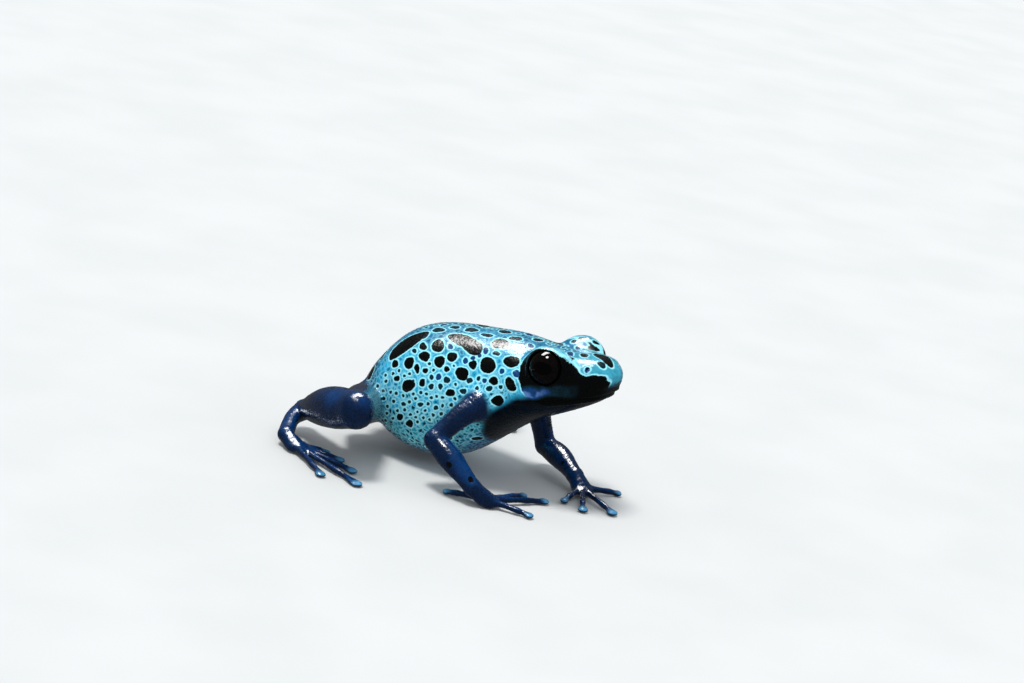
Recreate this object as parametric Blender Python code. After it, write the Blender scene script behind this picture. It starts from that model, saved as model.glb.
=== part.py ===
"""Life-size still model of a blue poison dart frog, sitting alert with its forequarters raised.

The frog faces +X and stands on Z = 0. The head and torso are one loft along the back, pitched nose up and
parted at the neck. Each leg is a chain of swept pieces from the shoulder or hip to the toes. Neighbouring
pieces keep a gap of 0.3 mm.
"""

import math

import bmesh
import bpy
import numpy as np
from mathutils import Matrix, Vector

MM = 0.001
GAP = 0.3 * MM

# The body's own frame: x along the back, z up, before it is pitched
BODY_PITCH = math.radians(12)
BODY_HEIGHT = 7.5 * MM
VENT_X = -11.4 * MM
SNOUT_X = 23.1 * MM
NECK_X = 9.9 * MM
NECK_Z = 3.0 * MM
NECK_SLANT = math.radians(10)
BODY_RINGS = 42
BODY_SIDES = 36
END_CROWDING = 0.85

# Stations along the body in mm: x, top, bottom, half-width, height of the widest line, boxiness
STATIONS = (
    (-11.4, 3.4, 0.4, 2.6, 1.6, 2.0),
    (-9.6, 4.3, -1.7, 4.3, 1.3, 2.0),
    (-7.4, 6.3, -4.0, 5.9, 0.9, 2.1),
    (-4.4, 8.5, -5.9, 7.1, 0.5, 2.1),
    (-1.0, 9.4, -6.6, 7.6, 0.4, 2.1),
    (3.0, 9.5, -6.1, 7.4, 0.6, 2.1),
    (6.6, 9.3, -4.3, 6.8, 1.2, 2.15),
    (10.0, 9.0, -2.3, 6.3, 2.0, 2.25),
    (13.0, 8.2, -0.9, 6.2, 2.6, 2.4),
    (16.0, 7.7, 0.1, 5.6, 3.1, 2.55),
    (18.6, 7.5, 1.0, 4.7, 3.7, 2.6),
    (21.0, 7.1, 2.1, 3.6, 4.4, 2.5),
    (23.1, 6.5, 3.7, 2.6, 5.1, 2.3),
)
RUMP_ROUNDING = 3.0 * MM
SNOUT_ROUNDING = 2.2 * MM

# Head features, in the body's own frame
EYE = Vector((15.9, 4.35, 6.15)) * MM
EYE_RADIUS = 2.25 * MM
EYE_GAP = 0.25 * MM
LID_RADII = (3.1 * MM, 2.8 * MM, 2.7 * MM)
LID_SETBACK = 0.25 * MM
EYE_FACING = Vector((0.2, 0.97, 0.12))
EYE_OPENING = (2.3 * MM, 2.2 * MM)
OPENING_DEPTH = 1.6
OPENING_OUT = 1.3
OPENING_LIFT = 0.1 * MM
EYE_RINGS = 12
EYE_SEGMENTS = 20
NOSTRIL_X = 20.6 * MM
NOSTRIL_Z = 6.1 * MM
NOSTRIL_RADIUS = 0.3 * MM
NOSTRIL_ROOT = (-0.3, -0.8, -0.2)
NOSTRIL_OUT = (0.1, 0.8, 0.3)
MOUTH_CORNER_X = 12.0 * MM
MOUTH_CORNER_Z = 1.9 * MM
MOUTH_FRONT_Z = 3.1 * MM
MOUTH_CURVE = 1.3
MOUTH_GROOVE = 0.2 * MM
UPPER_LIP = 0.3 * MM
LOWER_LIP = 0.24 * MM
UPPER_LIP_SUNK = 0.78
LOWER_LIP_SUNK = 0.92
EARDRUM_X = 11.9 * MM
EARDRUM_Z = 4.6 * MM
EARDRUM_RADIUS = 0.8 * MM
EARDRUM_RIM = 0.2 * MM
EARDRUM_LEAN = math.radians(20)
EARDRUM_STEPS = (16, 6)

# Leg joints in mm in the floor's frame, with y out from the midline, and where the tips of the digits lie
RIGHT, LEFT = -1, 1
ARM_JOINTS = {
    "right": {
        "shoulder": (8.0, 4.8, 11.3),
        "elbow": (4.7, 10.6, 6.0),
        "wrist": (11.0, 10.9, 2.1),
        "palm": (12.4, 9.6, 0.8),
    },
    "left": {
        "shoulder": (8.0, 4.8, 11.0),
        "elbow": (9.2, 9.2, 2.9),
        "wrist": (15.6, 5.8, 1.7),
        "palm": (17.2, 4.9, 0.8),
    },
}
FINGER_TIPS = {
    "right": ((13.7, 2.4), (16.5, 1.8), (18.3, 8.3), (6.9, 10.6)),
    "left": ((17.6, -0.4), (20.8, -1.0), (23.8, 1.6), (20.6, 9.2)),
}
LEG_JOINTS = {
    "hip": (-10.5, 2.4, 4.0),
    "knee": (-2.8, 16.5, 8.3),
    "heel": (-15.6, 7.4, 2.7),
    "instep": (-13.4, 14.0, 1.4),
    "sole": (-11.6, 14.6, 0.8),
}
TOE_TIPS = ((-8.0, 12.0), (-5.4, 12.8), (-2.4, 14.8), (0.4, 18.2), (-4.0, 19.6))

# Girths in mm along each length of leg: share, half-width and half-height
UPPER_ARM_GIRTH = ((0, 2.1, 2.1), (0.4, 1.55, 1.6), (0.8, 1.3, 1.3), (1, 1.3, 1.3))
FOREARM_GIRTH = ((0, 1.3, 1.3), (0.35, 1.5, 1.5), (0.75, 1.2, 1.2), (1, 1.1, 1.05))
THIGH_GIRTH = ((0, 2.3, 2.4), (0.35, 2.5, 2.6), (0.8, 2.1, 2.2), (1, 1.9, 2.0))
SHANK_GIRTH = ((0, 2.1, 2.2), (0.22, 2.4, 2.5), (0.45, 2.4, 2.5), (0.75, 1.8, 1.8), (1, 1.25, 1.25))
TARSUS_GIRTH = ((0, 1.25, 1.25), (0.5, 1.0, 1.0), (1, 1.05, 1.0))

# How far each length bows at its middle in mm: ahead, out and up
UPPER_ARM_BOW = (-0.2, 0.4, 0.2)
FOREARM_BOW = (0.0, 0.2, 0.25)
THIGH_BOW = (0.2, 0.0, 0.4)
SHANK_BOW = (0.2, 0.6, 0.5)
TARSUS_BOW = (-0.5, 0.0, 0.2)

# Half-widths of a palm or sole in mm at its joint and at its middle, and of the discs of its digits
HAND_WIDTHS = (1.1, 1.35)
FOOT_WIDTHS = (1.0, 1.3)
FINGER_DISCS = (0.58, 0.7, 0.78, 0.7)
TOE_DISCS = (0.5, 0.6, 0.68, 0.76, 0.64)

# A palm along its length: share, which of its two half-widths, and the shares of the width and height
PALM_GIRTH = ((0.0, 0, 1.0, 1.0), (0.4, 0, 1.0, 0.95), (0.75, 1, 1.0, 0.85), (1.0, 1, 0.8, 0.7))
KNUCKLE_REACH = 0.95
DIGIT_ROOT = 0.2

# A digit along its length: share, and the width and height as shares of its thickness, then the disc's
DIGIT_THICKNESS = 0.44 * MM
DIGIT_GIRTH = ((0.0, 1.2, 1.1), (0.36, 1.0, 1.0), (0.52, 0.84, 0.9), (0.66, 1.0, 1.0), (0.8, 0.8, 0.85))
DISC_HEIGHTS = ((0.9, 0.78), (1.0, 0.6))
DISC_START = 0.84
TIP_HEIGHT = 0.3 * MM
MIDDLE_LIFT = 0.3 * MM

ARM_SIDES = 12
LEG_SIDES = 16
DIGIT_SIDES = 8
DIGIT_STOPS = (0.22, 0.4, 0.55, 0.68, 0.79, 0.85, 0.91, 0.96)
PALM_RINGS = 6
UPPER_ARM_RINGS = 8
FOREARM_RINGS = 8
THIGH_RINGS = 9
SHANK_RINGS = 11
TARSUS_RINGS = 7
PATH_STEPS = 200
CAP_STOPS = (0.35, 0.7, 1.0)
AHEAD = 0.02
LIP_SIDES = 6
LIP_RINGS = 28
LIP_TAPER = 0.6
LIP_TAPER_RUN = 0.15
MOUTH_STEPS = 12
HALVINGS = 40

AZURE = (0.10, 0.36, 0.62)
COBALT = (0.012, 0.055, 0.24)
SKY = (0.20, 0.55, 0.72)
JET = (0.005, 0.006, 0.008)


def clear_scene():
    """Removes every object that the scene starts with."""
    for obj in list(bpy.data.objects):
        bpy.data.objects.remove(obj)


def make_material(name, colour, roughness):
    """A plain wet skin or eye material."""
    material = bpy.data.materials.new(name)
    material.use_nodes = True
    shader = material.node_tree.nodes["Principled BSDF"]
    shader.inputs["Base Color"].default_value = (*colour, 1.0)
    shader.inputs["Roughness"].default_value = roughness
    shader.inputs["Metallic"].default_value = 0.0
    return material


def natural_spline(xs, ys):
    """The smooth cubic curve through the points (xs, ys), as a function."""
    xs, ys = np.asarray(xs, float), np.asarray(ys, float)
    count, step = len(xs), np.diff(xs)
    rows, right = np.eye(count), np.zeros(count)
    for i in range(1, count - 1):
        rows[i, i - 1 : i + 2] = step[i - 1], 2 * (step[i - 1] + step[i]), step[i]
        right[i] = 6 * ((ys[i + 1] - ys[i]) / step[i] - (ys[i] - ys[i - 1]) / step[i - 1])
    bend = np.linalg.solve(rows, right)

    def value(x):
        i = int(np.clip(np.searchsorted(xs, x) - 1, 0, count - 2))
        a, b = (xs[i + 1] - x) / step[i], (x - xs[i]) / step[i]
        curve = (a**3 - a) * bend[i] + (b**3 - b) * bend[i + 1]
        return float(a * ys[i] + b * ys[i + 1] + curve * step[i] ** 2 / 6)

    return value


TABLE = np.array(STATIONS)
PROFILE = [natural_spline(TABLE[:, 0], TABLE[:, k]) for k in range(1, 6)]


def section_at(x):
    """Top, bottom, half-width, widest height and boxiness at x, with the rump and snout rounded off."""
    top, bottom, half, waist, boxy = (p(x / MM) for p in PROFILE)
    top, bottom, half, waist = top * MM, bottom * MM, half * MM, waist * MM
    for end, rounding in ((VENT_X, RUMP_ROUNDING), (SNOUT_X, SNOUT_ROUNDING)):
        inset = 1 - min(abs(x - end) / rounding, 1)
        shrink = math.sqrt(max(0.0, 1 - inset * inset))
        middle = (top + bottom) / 2
        top = middle + (top - middle) * shrink
        bottom = middle + (bottom - middle) * shrink
        waist = middle + (waist - middle) * shrink
        half *= shrink
    return top, bottom, half, waist, boxy


def body_point(x, angle, grow=0.0):
    """A point of the body's skin: angle 0 is the left side, a quarter turn is the back."""
    top, bottom, half, waist, boxy = section_at(x)
    across, up = math.cos(angle), math.sin(angle)
    power = 2 / boxy
    y = (half + grow) * math.copysign(abs(across) ** power, across)
    reach = (top - waist + grow) if up > 0 else (waist - bottom + grow)
    return Vector((x, y, waist + reach * math.copysign(abs(up) ** power, up)))


def skin_y(x, z):
    """How far from the midline the skin lies at x and height z."""
    top, bottom, half, waist, boxy = section_at(x)
    reach = (top - waist) if z > waist else (waist - bottom)
    level = min(abs(z - waist) / max(reach, 1e-6), 1.0)
    return half * (1 - level**boxy) ** (1 / boxy)


def pose_of_body():
    """Carries the body's own frame into the floor's frame."""
    return Matrix.Translation((0, 0, BODY_HEIGHT)) @ Matrix.Rotation(-BODY_PITCH, 4, "Y")


def mesh_object(name, rings, start_pole, end_pole):
    """A closed tube through rings of points, ending in two poles."""
    bm = bmesh.new()
    loops = [[bm.verts.new(p) for p in ring] for ring in rings]
    first, last = bm.verts.new(start_pole), bm.verts.new(end_pole)
    sides = len(loops[0])
    for here, there in zip(loops, loops[1:]):
        for i in range(sides):
            j = (i + 1) % sides
            bm.faces.new((here[i], here[j], there[j], there[i]))
    for i in range(sides):
        j = (i + 1) % sides
        bm.faces.new((first, loops[0][j], loops[0][i]))
        bm.faces.new((last, loops[-1][i], loops[-1][j]))
    bmesh.ops.recalc_face_normals(bm, faces=bm.faces)
    mesh = bpy.data.meshes.new(name)
    bm.to_mesh(mesh)
    bm.free()
    obj = bpy.data.objects.new(name, mesh)
    bpy.context.scene.collection.objects.link(obj)
    return obj


def body_loft(name, grow=0.0):
    """The head and torso as one loft, its skin moved out by grow."""
    length = SNOUT_X - VENT_X
    rings = []
    for i in range(1, BODY_RINGS):
        share = (1 - math.cos(math.pi * i / BODY_RINGS)) / 2
        x = VENT_X + length * (END_CROWDING * share + (1 - END_CROWDING) * i / BODY_RINGS)
        turns = [2 * math.pi * k / BODY_SIDES for k in range(BODY_SIDES)]
        rings.append([body_point(x, turn, grow) for turn in turns])
    poles = []
    for x, sign in ((VENT_X, -1), (SNOUT_X, 1)):
        top, bottom, *_ = section_at(x)
        poles.append(Vector((x + sign * grow, 0, (top + bottom) / 2)))
    obj = mesh_object(name, rings, *poles)
    obj.data.transform(pose_of_body())
    return obj


def catmull_rom(points, share):
    """The point a share of the way along a smooth curve through points."""
    points = [Vector(p) for p in points]
    points = [2 * points[0] - points[1], *points, 2 * points[-1] - points[-2]]
    spans = len(points) - 3
    at = min(share * spans, spans - 1e-9)
    i, t = int(at), at - int(at)
    a, b, c, d = points[i : i + 4]
    bend = (2 * a - 5 * b + 4 * c - d) * t * t + (3 * b - a - 3 * c + d) * t**3
    return (2 * b + (c - a) * t + bend) / 2


def sweep(name, path, girth, sides, rings):
    """A tube along a smooth path with round ends.

    girth holds (share, half-width, half-height), and rings is their number or the share where each lies.
    """
    widths = natural_spline([g[0] for g in girth], [g[1] for g in girth])
    heights = natural_spline([g[0] for g in girth], [g[2] for g in girth])
    fine = [catmull_rom(path, k / PATH_STEPS) for k in range(PATH_STEPS + 1)]
    run = np.concatenate([[0], np.cumsum([(b - a).length for a, b in zip(fine, fine[1:])])])
    length = run[-1]

    def place(distance):
        k = float(np.interp(distance, run, range(PATH_STEPS + 1)))
        i = min(int(k), PATH_STEPS - 1)
        return fine[i].lerp(fine[i + 1], k - i)

    start, end = widths(0), widths(1)
    leans = [stop * math.pi / 2 for stop in CAP_STOPS]
    stops = [(start * (1 - math.cos(lean)), math.sin(lean)) for lean in leans]
    tail = [(length - end * (1 - math.cos(lean)), math.sin(lean)) for lean in leans]
    shares = [k / rings for k in range(1, rings)] if isinstance(rings, int) else rings
    middle = [(start + (length - start - end) * share, 1.0) for share in shares]
    stops += middle + tail[::-1]
    up = Vector((0, 0, 1))
    loops = []
    for distance, shrink in stops:
        after = place(min(distance + AHEAD * length, length))
        ahead = (after - place(max(distance - AHEAD * length, 0))).normalized()
        aside = ahead.cross(up).normalized()
        above = aside.cross(ahead).normalized()
        share = distance / length
        width, height = widths(share) * shrink, heights(share) * shrink
        centre = place(distance)
        turns = [2 * math.pi * (k + 0.5) / sides for k in range(sides)]
        loops.append([centre + aside * math.cos(t) * width + above * math.sin(t) * height for t in turns])
    return mesh_object(name, loops, place(0), place(length))


def ball(name, radius, rings=EYE_RINGS, segments=EYE_SEGMENTS):
    """A sphere round the origin."""
    bm = bmesh.new()
    bmesh.ops.create_uvsphere(bm, u_segments=segments, v_segments=rings, radius=radius)
    mesh = bpy.data.meshes.new(name)
    bm.to_mesh(mesh)
    bm.free()
    obj = bpy.data.objects.new(name, mesh)
    bpy.context.scene.collection.objects.link(obj)
    return obj


def bool_with(obj, others, operation):
    """Applies one Boolean of obj with a list of closed mesh objects, and removes them."""
    group = bpy.data.collections.new("group")
    bpy.context.scene.collection.children.link(group)
    for other in others:
        group.objects.link(other)
    modifier = obj.modifiers.new(operation, "BOOLEAN")
    modifier.operation = operation
    modifier.operand_type = "COLLECTION"
    modifier.collection = group
    modifier.solver = "EXACT"
    bpy.context.view_layer.update()
    graph = bpy.context.evaluated_depsgraph_get()
    made = bpy.data.meshes.new_from_object(obj.evaluated_get(graph))
    obj.modifiers.clear()
    obj.data = made
    for other in others:
        bpy.data.objects.remove(other)
    bpy.data.collections.remove(group)
    keep_largest(obj)
    return obj


def keep_largest(obj):
    """Keeps only the largest connected surface of a mesh."""
    bm = bmesh.new()
    bm.from_mesh(obj.data)
    bm.verts.ensure_lookup_table()
    seen, groups = set(), []
    for start in bm.verts:
        if start.index in seen:
            continue
        group, queue = [], [start]
        seen.add(start.index)
        while queue:
            vert = queue.pop()
            group.append(vert)
            for edge in vert.link_edges:
                other = edge.other_vert(vert)
                if other.index not in seen:
                    seen.add(other.index)
                    queue.append(other)
        groups.append(group)
    groups.sort(key=len)
    loose = [vert for group in groups[:-1] for vert in group]
    bmesh.ops.delete(bm, geom=loose, context="VERTS")
    bm.to_mesh(obj.data)
    bm.free()


def trim(obj, point, normal):
    """Cuts away what lies on the normal's side of a plane, and closes the cut."""
    bm = bmesh.new()
    bm.from_mesh(obj.data)
    geometry = bm.verts[:] + bm.edges[:] + bm.faces[:]
    bmesh.ops.bisect_plane(bm, geom=geometry, dist=1e-7, plane_co=point, plane_no=normal, clear_outer=True)
    rim = [edge for edge in bm.edges if edge.is_boundary]
    bmesh.ops.edgeloop_fill(bm, edges=rim)
    bmesh.ops.recalc_face_normals(bm, faces=bm.faces)
    bm.to_mesh(obj.data)
    bm.free()
    keep_largest(obj)


def part_at(joint, towards, inner, outer):
    """Parts two pieces that meet at a joint, each half a gap back from the plane between them."""
    normal = Vector(towards).normalized()
    trim(inner, joint + normal * -GAP / 2, normal)
    trim(outer, joint + normal * GAP / 2, -normal)


def between(joint, before, after):
    """The normal of the plane that halves the bend from before through joint to after."""
    return ((after - joint).normalized() - (before - joint).normalized()).normalized()


def on_side(point, side):
    """A point given in mm for one side, as a vector in metres."""
    x, y, z = point
    return Vector((x, side * y, z)) * MM


def mouth_height(x):
    """Height of the line of the mouth at x."""
    share = (x - MOUTH_CORNER_X) / (SNOUT_X - MOUTH_CORNER_X)
    return MOUTH_CORNER_Z + (MOUTH_FRONT_Z - MOUTH_CORNER_Z) * share**MOUTH_CURVE


def mouth_front(lift):
    """Where the line of the mouth, raised by lift, crosses the midline below the snout."""
    low, high = MOUTH_CORNER_X, SNOUT_X
    for _ in range(HALVINGS):
        x = (low + high) / 2
        top, bottom, *_ = section_at(x)
        if bottom < mouth_height(x) + lift:
            low = x
        else:
            high = x
    return low


def mouth_path(lift, sink):
    """Points along the mouth, sunk in the skin, from the right corner round the snout to the left one."""
    front = mouth_front(lift)
    outline = []
    for k in range(-MOUTH_STEPS, MOUTH_STEPS + 1):
        x = MOUTH_CORNER_X + (front - MOUTH_CORNER_X) * math.cos(k / MOUTH_STEPS * math.pi / 2)
        z = mouth_height(x) + lift
        y = math.copysign(skin_y(x, z), k) if k else 0.0
        outline.append(Vector((x, y, z)))
    path = []
    for i, point in enumerate(outline):
        along = outline[min(i + 1, 2 * MOUTH_STEPS)] - outline[max(i - 1, 0)]
        inward = Vector((-along.y, along.x, 0)).normalized()
        path.append(point + inward * sink)
    return path


def bead(name, lift, radius, sink):
    """A thin round strip along the mouth, a little above, on or below its line."""
    end = radius * LIP_TAPER
    full = ((share, radius, radius) for share in (LIP_TAPER_RUN, 1 - LIP_TAPER_RUN))
    girth = ((0, end, end), *full, (1, end, end))
    obj = sweep(name, mouth_path(lift, sink), girth, LIP_SIDES, LIP_RINGS)
    obj.data.transform(pose_of_body())
    return obj


def eye_frame(side):
    """Carries +X to the way an eye looks, with its centre at the eye's."""
    facing = Vector((EYE_FACING.x, side * EYE_FACING.y, EYE_FACING.z)).normalized()
    turn = facing.to_track_quat("X", "Z").to_matrix().to_4x4()
    centre = Vector((EYE.x, side * EYE.y, EYE.z))
    return Matrix.Translation(centre) @ turn


def eye_parts(side, word):
    """The eyeball, the dome of its lids, and the cutters of its socket and opening."""
    frame = eye_frame(side)
    eyeball = ball("eye_" + word, EYE_RADIUS)
    eyeball.data.transform(Matrix.Rotation(math.pi / 2, 4, "Y"))
    socket = ball("socket", EYE_RADIUS + EYE_GAP)
    opening = ball("opening", 1.0, EYE_RINGS - 2)
    width, height = EYE_OPENING
    opening.data.transform(Matrix.Diagonal((EYE_RADIUS * OPENING_DEPTH, width, height, 1)))
    opening.data.transform(Matrix.Translation((EYE_RADIUS * OPENING_OUT, 0, OPENING_LIFT)))
    for obj in (eyeball, socket, opening):
        obj.data.transform(pose_of_body() @ frame)
    lids = ball("lids", 1.0, EYE_RINGS + 2, EYE_SEGMENTS + 4)
    lids.data.transform(Matrix.Diagonal((*LID_RADII, 1)))
    lids.data.transform(Matrix.Translation((EYE.x, side * (EYE.y - LID_SETBACK), EYE.z)))
    lids.data.transform(pose_of_body())
    return eyeball, lids, socket, opening


def nostril_cutter(side):
    """A short blind hole that points out, back and a little up."""
    tip = Vector((NOSTRIL_X, side * skin_y(NOSTRIL_X, NOSTRIL_Z), NOSTRIL_Z))
    root, out = tip + on_side(NOSTRIL_ROOT, side), tip + on_side(NOSTRIL_OUT, side)
    girth = [(share, NOSTRIL_RADIUS, NOSTRIL_RADIUS) for share in (0, 0.5, 1)]
    obj = sweep("nostril", (root, tip, out), girth, DIGIT_SIDES, 3)
    obj.data.transform(pose_of_body())
    return obj


def eardrum_rim(side):
    """The low ring round the eardrum, most of it sunk in the cheek."""
    bm = bmesh.new()
    turns, around = EARDRUM_STEPS
    rings = []
    for i in range(turns):
        turn = 2 * math.pi * i / turns
        ring = []
        for k in range(around):
            roll = 2 * math.pi * k / around
            radius = EARDRUM_RADIUS + EARDRUM_RIM * math.cos(roll)
            depth = EARDRUM_RIM * math.sin(roll)
            ring.append(bm.verts.new((radius * math.cos(turn), depth, radius * math.sin(turn))))
        rings.append(ring)
    for here, there in zip(rings, rings[1:] + rings[:1]):
        for k in range(around):
            j = (k + 1) % around
            bm.faces.new((here[k], here[j], there[j], there[k]))
    bmesh.ops.recalc_face_normals(bm, faces=bm.faces)
    mesh = bpy.data.meshes.new("eardrum")
    bm.to_mesh(mesh)
    bm.free()
    centre = Vector((EARDRUM_X, side * skin_y(EARDRUM_X, EARDRUM_Z), EARDRUM_Z))
    lean = Matrix.Rotation(side * EARDRUM_LEAN, 4, "X")
    mesh.transform(pose_of_body() @ Matrix.Translation(centre) @ lean)
    obj = bpy.data.objects.new("eardrum", mesh)
    bpy.context.scene.collection.objects.link(obj)
    return obj


def build_head_and_torso():
    """The loft with lids, lips, mouth line, nostrils and eardrums, parted at the neck."""
    head = body_loft("head")
    torso = head.copy()
    torso.data = head.data.copy()
    torso.name = "torso"
    bpy.context.scene.collection.objects.link(torso)
    added, cutters, eyes = [], [], []
    for side, word in ((RIGHT, "right"), (LEFT, "left")):
        eyeball, lids, socket, opening = eye_parts(side, word)
        eyes.append(eyeball)
        added += [lids, eardrum_rim(side)]
        cutters += [socket, opening, nostril_cutter(side)]
    added.append(bead("upper_lip", UPPER_LIP, UPPER_LIP, UPPER_LIP * UPPER_LIP_SUNK))
    added.append(bead("lower_lip", -LOWER_LIP, LOWER_LIP, LOWER_LIP * LOWER_LIP_SUNK))
    cutters.append(bead("groove", 0.0, MOUTH_GROOVE, 0.0))
    bool_with(head, added, "UNION")
    bool_with(head, cutters, "DIFFERENCE")
    neck = pose_of_body() @ Vector((NECK_X, 0, NECK_Z))
    forward = pose_of_body().to_3x3() @ Vector((math.cos(NECK_SLANT), 0, math.sin(NECK_SLANT)))
    part_at(neck, forward, torso, head)
    return head, torso, eyes


def digit(root, knuckle, tip, disc):
    """A finger or toe from inside the palm over its knuckle to a flattened disc on the floor."""
    tip = Vector((tip.x, tip.y, TIP_HEIGHT))
    middle = knuckle.lerp(tip, 0.5)
    middle.z = TIP_HEIGHT + MIDDLE_LIFT
    path = (root, knuckle, middle, knuckle.lerp(tip, DISC_START), tip)
    thick = DIGIT_THICKNESS
    girth = [(share, width * thick, height * thick) for share, width, height in DIGIT_GIRTH]
    girth += [(share, disc, height * thick) for share, height in DISC_HEIGHTS]
    return sweep("digit", path, girth, DIGIT_SIDES, DIGIT_STOPS)


def build_foot(name, before, joint, palm, tips, discs, widths):
    """A palm or sole with its digits fused to it, flat where it stands.

    It starts in line with the limb that ends at the joint, and widths are its half-widths at the joint and
    at the middle of the palm.
    """
    along = (joint - before).normalized()
    ahead = (palm - joint).normalized()
    widths = [width * MM for width in widths]
    narrow, wide = widths
    girth = [(at, widths[k] * width, narrow * height) for at, k, width, height in PALM_GIRTH]
    path = (joint - along * narrow, joint, palm, palm + ahead * wide)
    foot = sweep(name, path, girth, ARM_SIDES, PALM_RINGS)
    trim(foot, joint + along * GAP / 2, -along)
    digits = []
    for tip, disc in zip(tips, discs):
        flat = Vector((tip.x, tip.y, palm.z))
        knuckle = palm + (flat - palm).normalized() * wide * KNUCKLE_REACH
        digits.append(digit(palm.lerp(joint, DIGIT_ROOT), knuckle, tip, disc * MM))
    bool_with(foot, digits, "UNION")
    trim(foot, Vector((0, 0, 0)), Vector((0, 0, -1)))
    return foot


def limb(name, start, end, bow, girth, sides, rings, rooted=False):
    """A length of leg from joint to joint that bows by an offset at its middle.

    It runs on past each joint by its own radius there, so that two lengths meet in a round joint, but not at
    its start when it is rooted in the body.
    """
    middle = start.lerp(end, 0.5) + bow
    head = 0.0 if rooted else girth[0][1] * MM
    tail = girth[-1][1] * MM
    first = start - (middle - start).normalized() * head
    last = end + (end - middle).normalized() * tail
    run = (middle - start).length + (end - middle).length
    whole = head + run + tail
    in_metres = [((head + share * run) / whole, width * MM, height * MM) for share, width, height in girth]
    if not rooted:
        in_metres.insert(0, (0.0, *in_metres[0][1:]))
    in_metres.append((1.0, *in_metres[-1][1:]))
    path = (start, middle, end, last) if rooted else (first, start, middle, end, last)
    return sweep(name, path, in_metres, sides, rings)


def build_arm(side, word):
    """The upper arm, forearm and hand of one side."""
    joints = {k: on_side(p, side) for k, p in ARM_JOINTS[word].items()}
    shoulder, elbow, wrist, palm = (joints[k] for k in ("shoulder", "elbow", "wrist", "palm"))
    tips = [on_side((x, y, 0), side) for x, y in FINGER_TIPS[word]]
    bows = [on_side(bow, side) for bow in (UPPER_ARM_BOW, FOREARM_BOW)]
    sizes = (UPPER_ARM_GIRTH, ARM_SIDES, UPPER_ARM_RINGS)
    upper = limb("upper_arm_" + word, shoulder, elbow, bows[0], *sizes, rooted=True)
    sizes = (FOREARM_GIRTH, ARM_SIDES, FOREARM_RINGS)
    fore = limb("forearm_" + word, elbow, wrist, bows[1], *sizes)
    hand = build_foot("hand_" + word, elbow, wrist, palm, tips, FINGER_DISCS, HAND_WIDTHS)
    part_at(elbow, between(elbow, shoulder, wrist), upper, fore)
    trim(fore, wrist - (wrist - elbow).normalized() * GAP / 2, wrist - elbow)
    return upper, fore, hand


def build_leg(side, word):
    """The thigh, shank, tarsus and foot of one side."""
    joints = {k: on_side(p, side) for k, p in LEG_JOINTS.items()}
    hip, knee, heel, instep, sole = (joints[k] for k in ("hip", "knee", "heel", "instep", "sole"))
    tips = [on_side((x, y, 0), side) for x, y in TOE_TIPS]
    bows = [on_side(bow, side) for bow in (THIGH_BOW, SHANK_BOW, TARSUS_BOW)]
    thigh = limb("thigh_" + word, hip, knee, bows[0], THIGH_GIRTH, LEG_SIDES, THIGH_RINGS, rooted=True)
    shank = limb("shank_" + word, knee, heel, bows[1], SHANK_GIRTH, LEG_SIDES, SHANK_RINGS)
    tarsus = limb("tarsus_" + word, heel, instep, bows[2], TARSUS_GIRTH, ARM_SIDES, TARSUS_RINGS)
    foot = build_foot("foot_" + word, heel, instep, sole, tips, TOE_DISCS, FOOT_WIDTHS)
    part_at(knee, between(knee, hip, heel), thigh, shank)
    part_at(heel, between(heel, knee, instep), shank, tarsus)
    trim(tarsus, instep - (instep - heel).normalized() * GAP / 2, instep - heel)
    return thigh, shank, tarsus, foot


def clear_of_body(pieces):
    """Cuts limbs back to a gap from the skin of the head and torso."""
    for piece in pieces:
        bool_with(piece, [body_loft("clearance", GAP)], "DIFFERENCE")


def main():
    """Builds every node, gives it its material, and centres the frog over the origin."""
    clear_scene()
    skins = {
        "flank": make_material("flank_skin", AZURE, 0.3),
        "limb": make_material("limb_skin", COBALT, 0.28),
        "face": make_material("face_skin", SKY, 0.3),
        "eye": make_material("eye", JET, 0.05),
    }
    head, torso, eyes = build_head_and_torso()
    dressed = [(head, "face"), (torso, "flank")] + [(eye, "eye") for eye in eyes]
    for side, word in ((RIGHT, "right"), (LEFT, "left")):
        upper, fore, hand = build_arm(side, word)
        thigh, shank, tarsus, foot = build_leg(side, word)
        clear_of_body([upper, thigh, shank])
        dressed += [(piece, "limb") for piece in (upper, fore, hand, thigh, shank, tarsus, foot)]
    corners = [v.co for piece, _ in dressed for v in piece.data.vertices]
    low = Vector([min(c[k] for c in corners) for k in range(3)])
    high = Vector([max(c[k] for c in corners) for k in range(3)])
    stand = bpy.data.objects.new("frog", None)
    bpy.context.scene.collection.objects.link(stand)
    stand.location = (-(low.x + high.x) / 2, -(low.y + high.y) / 2, -low.z)
    for piece, skin in dressed:
        piece.parent = stand
        piece.data.materials.clear()
        piece.data.materials.append(skins[skin])
        piece.data.shade_smooth()


main()
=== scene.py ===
"""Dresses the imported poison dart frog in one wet, spotted skin, with two glossy eyes and a soft studio.

Shapes are worked out in millimetres in the floor's frame, the one the frog was designed in: x ahead, y to the
frog's left, z up from the floor. They are carried to the row's frame, in metres, when they become meshes.
"""

import math

import bpy
import numpy as np
from mathutils import Matrix, Vector


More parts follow.
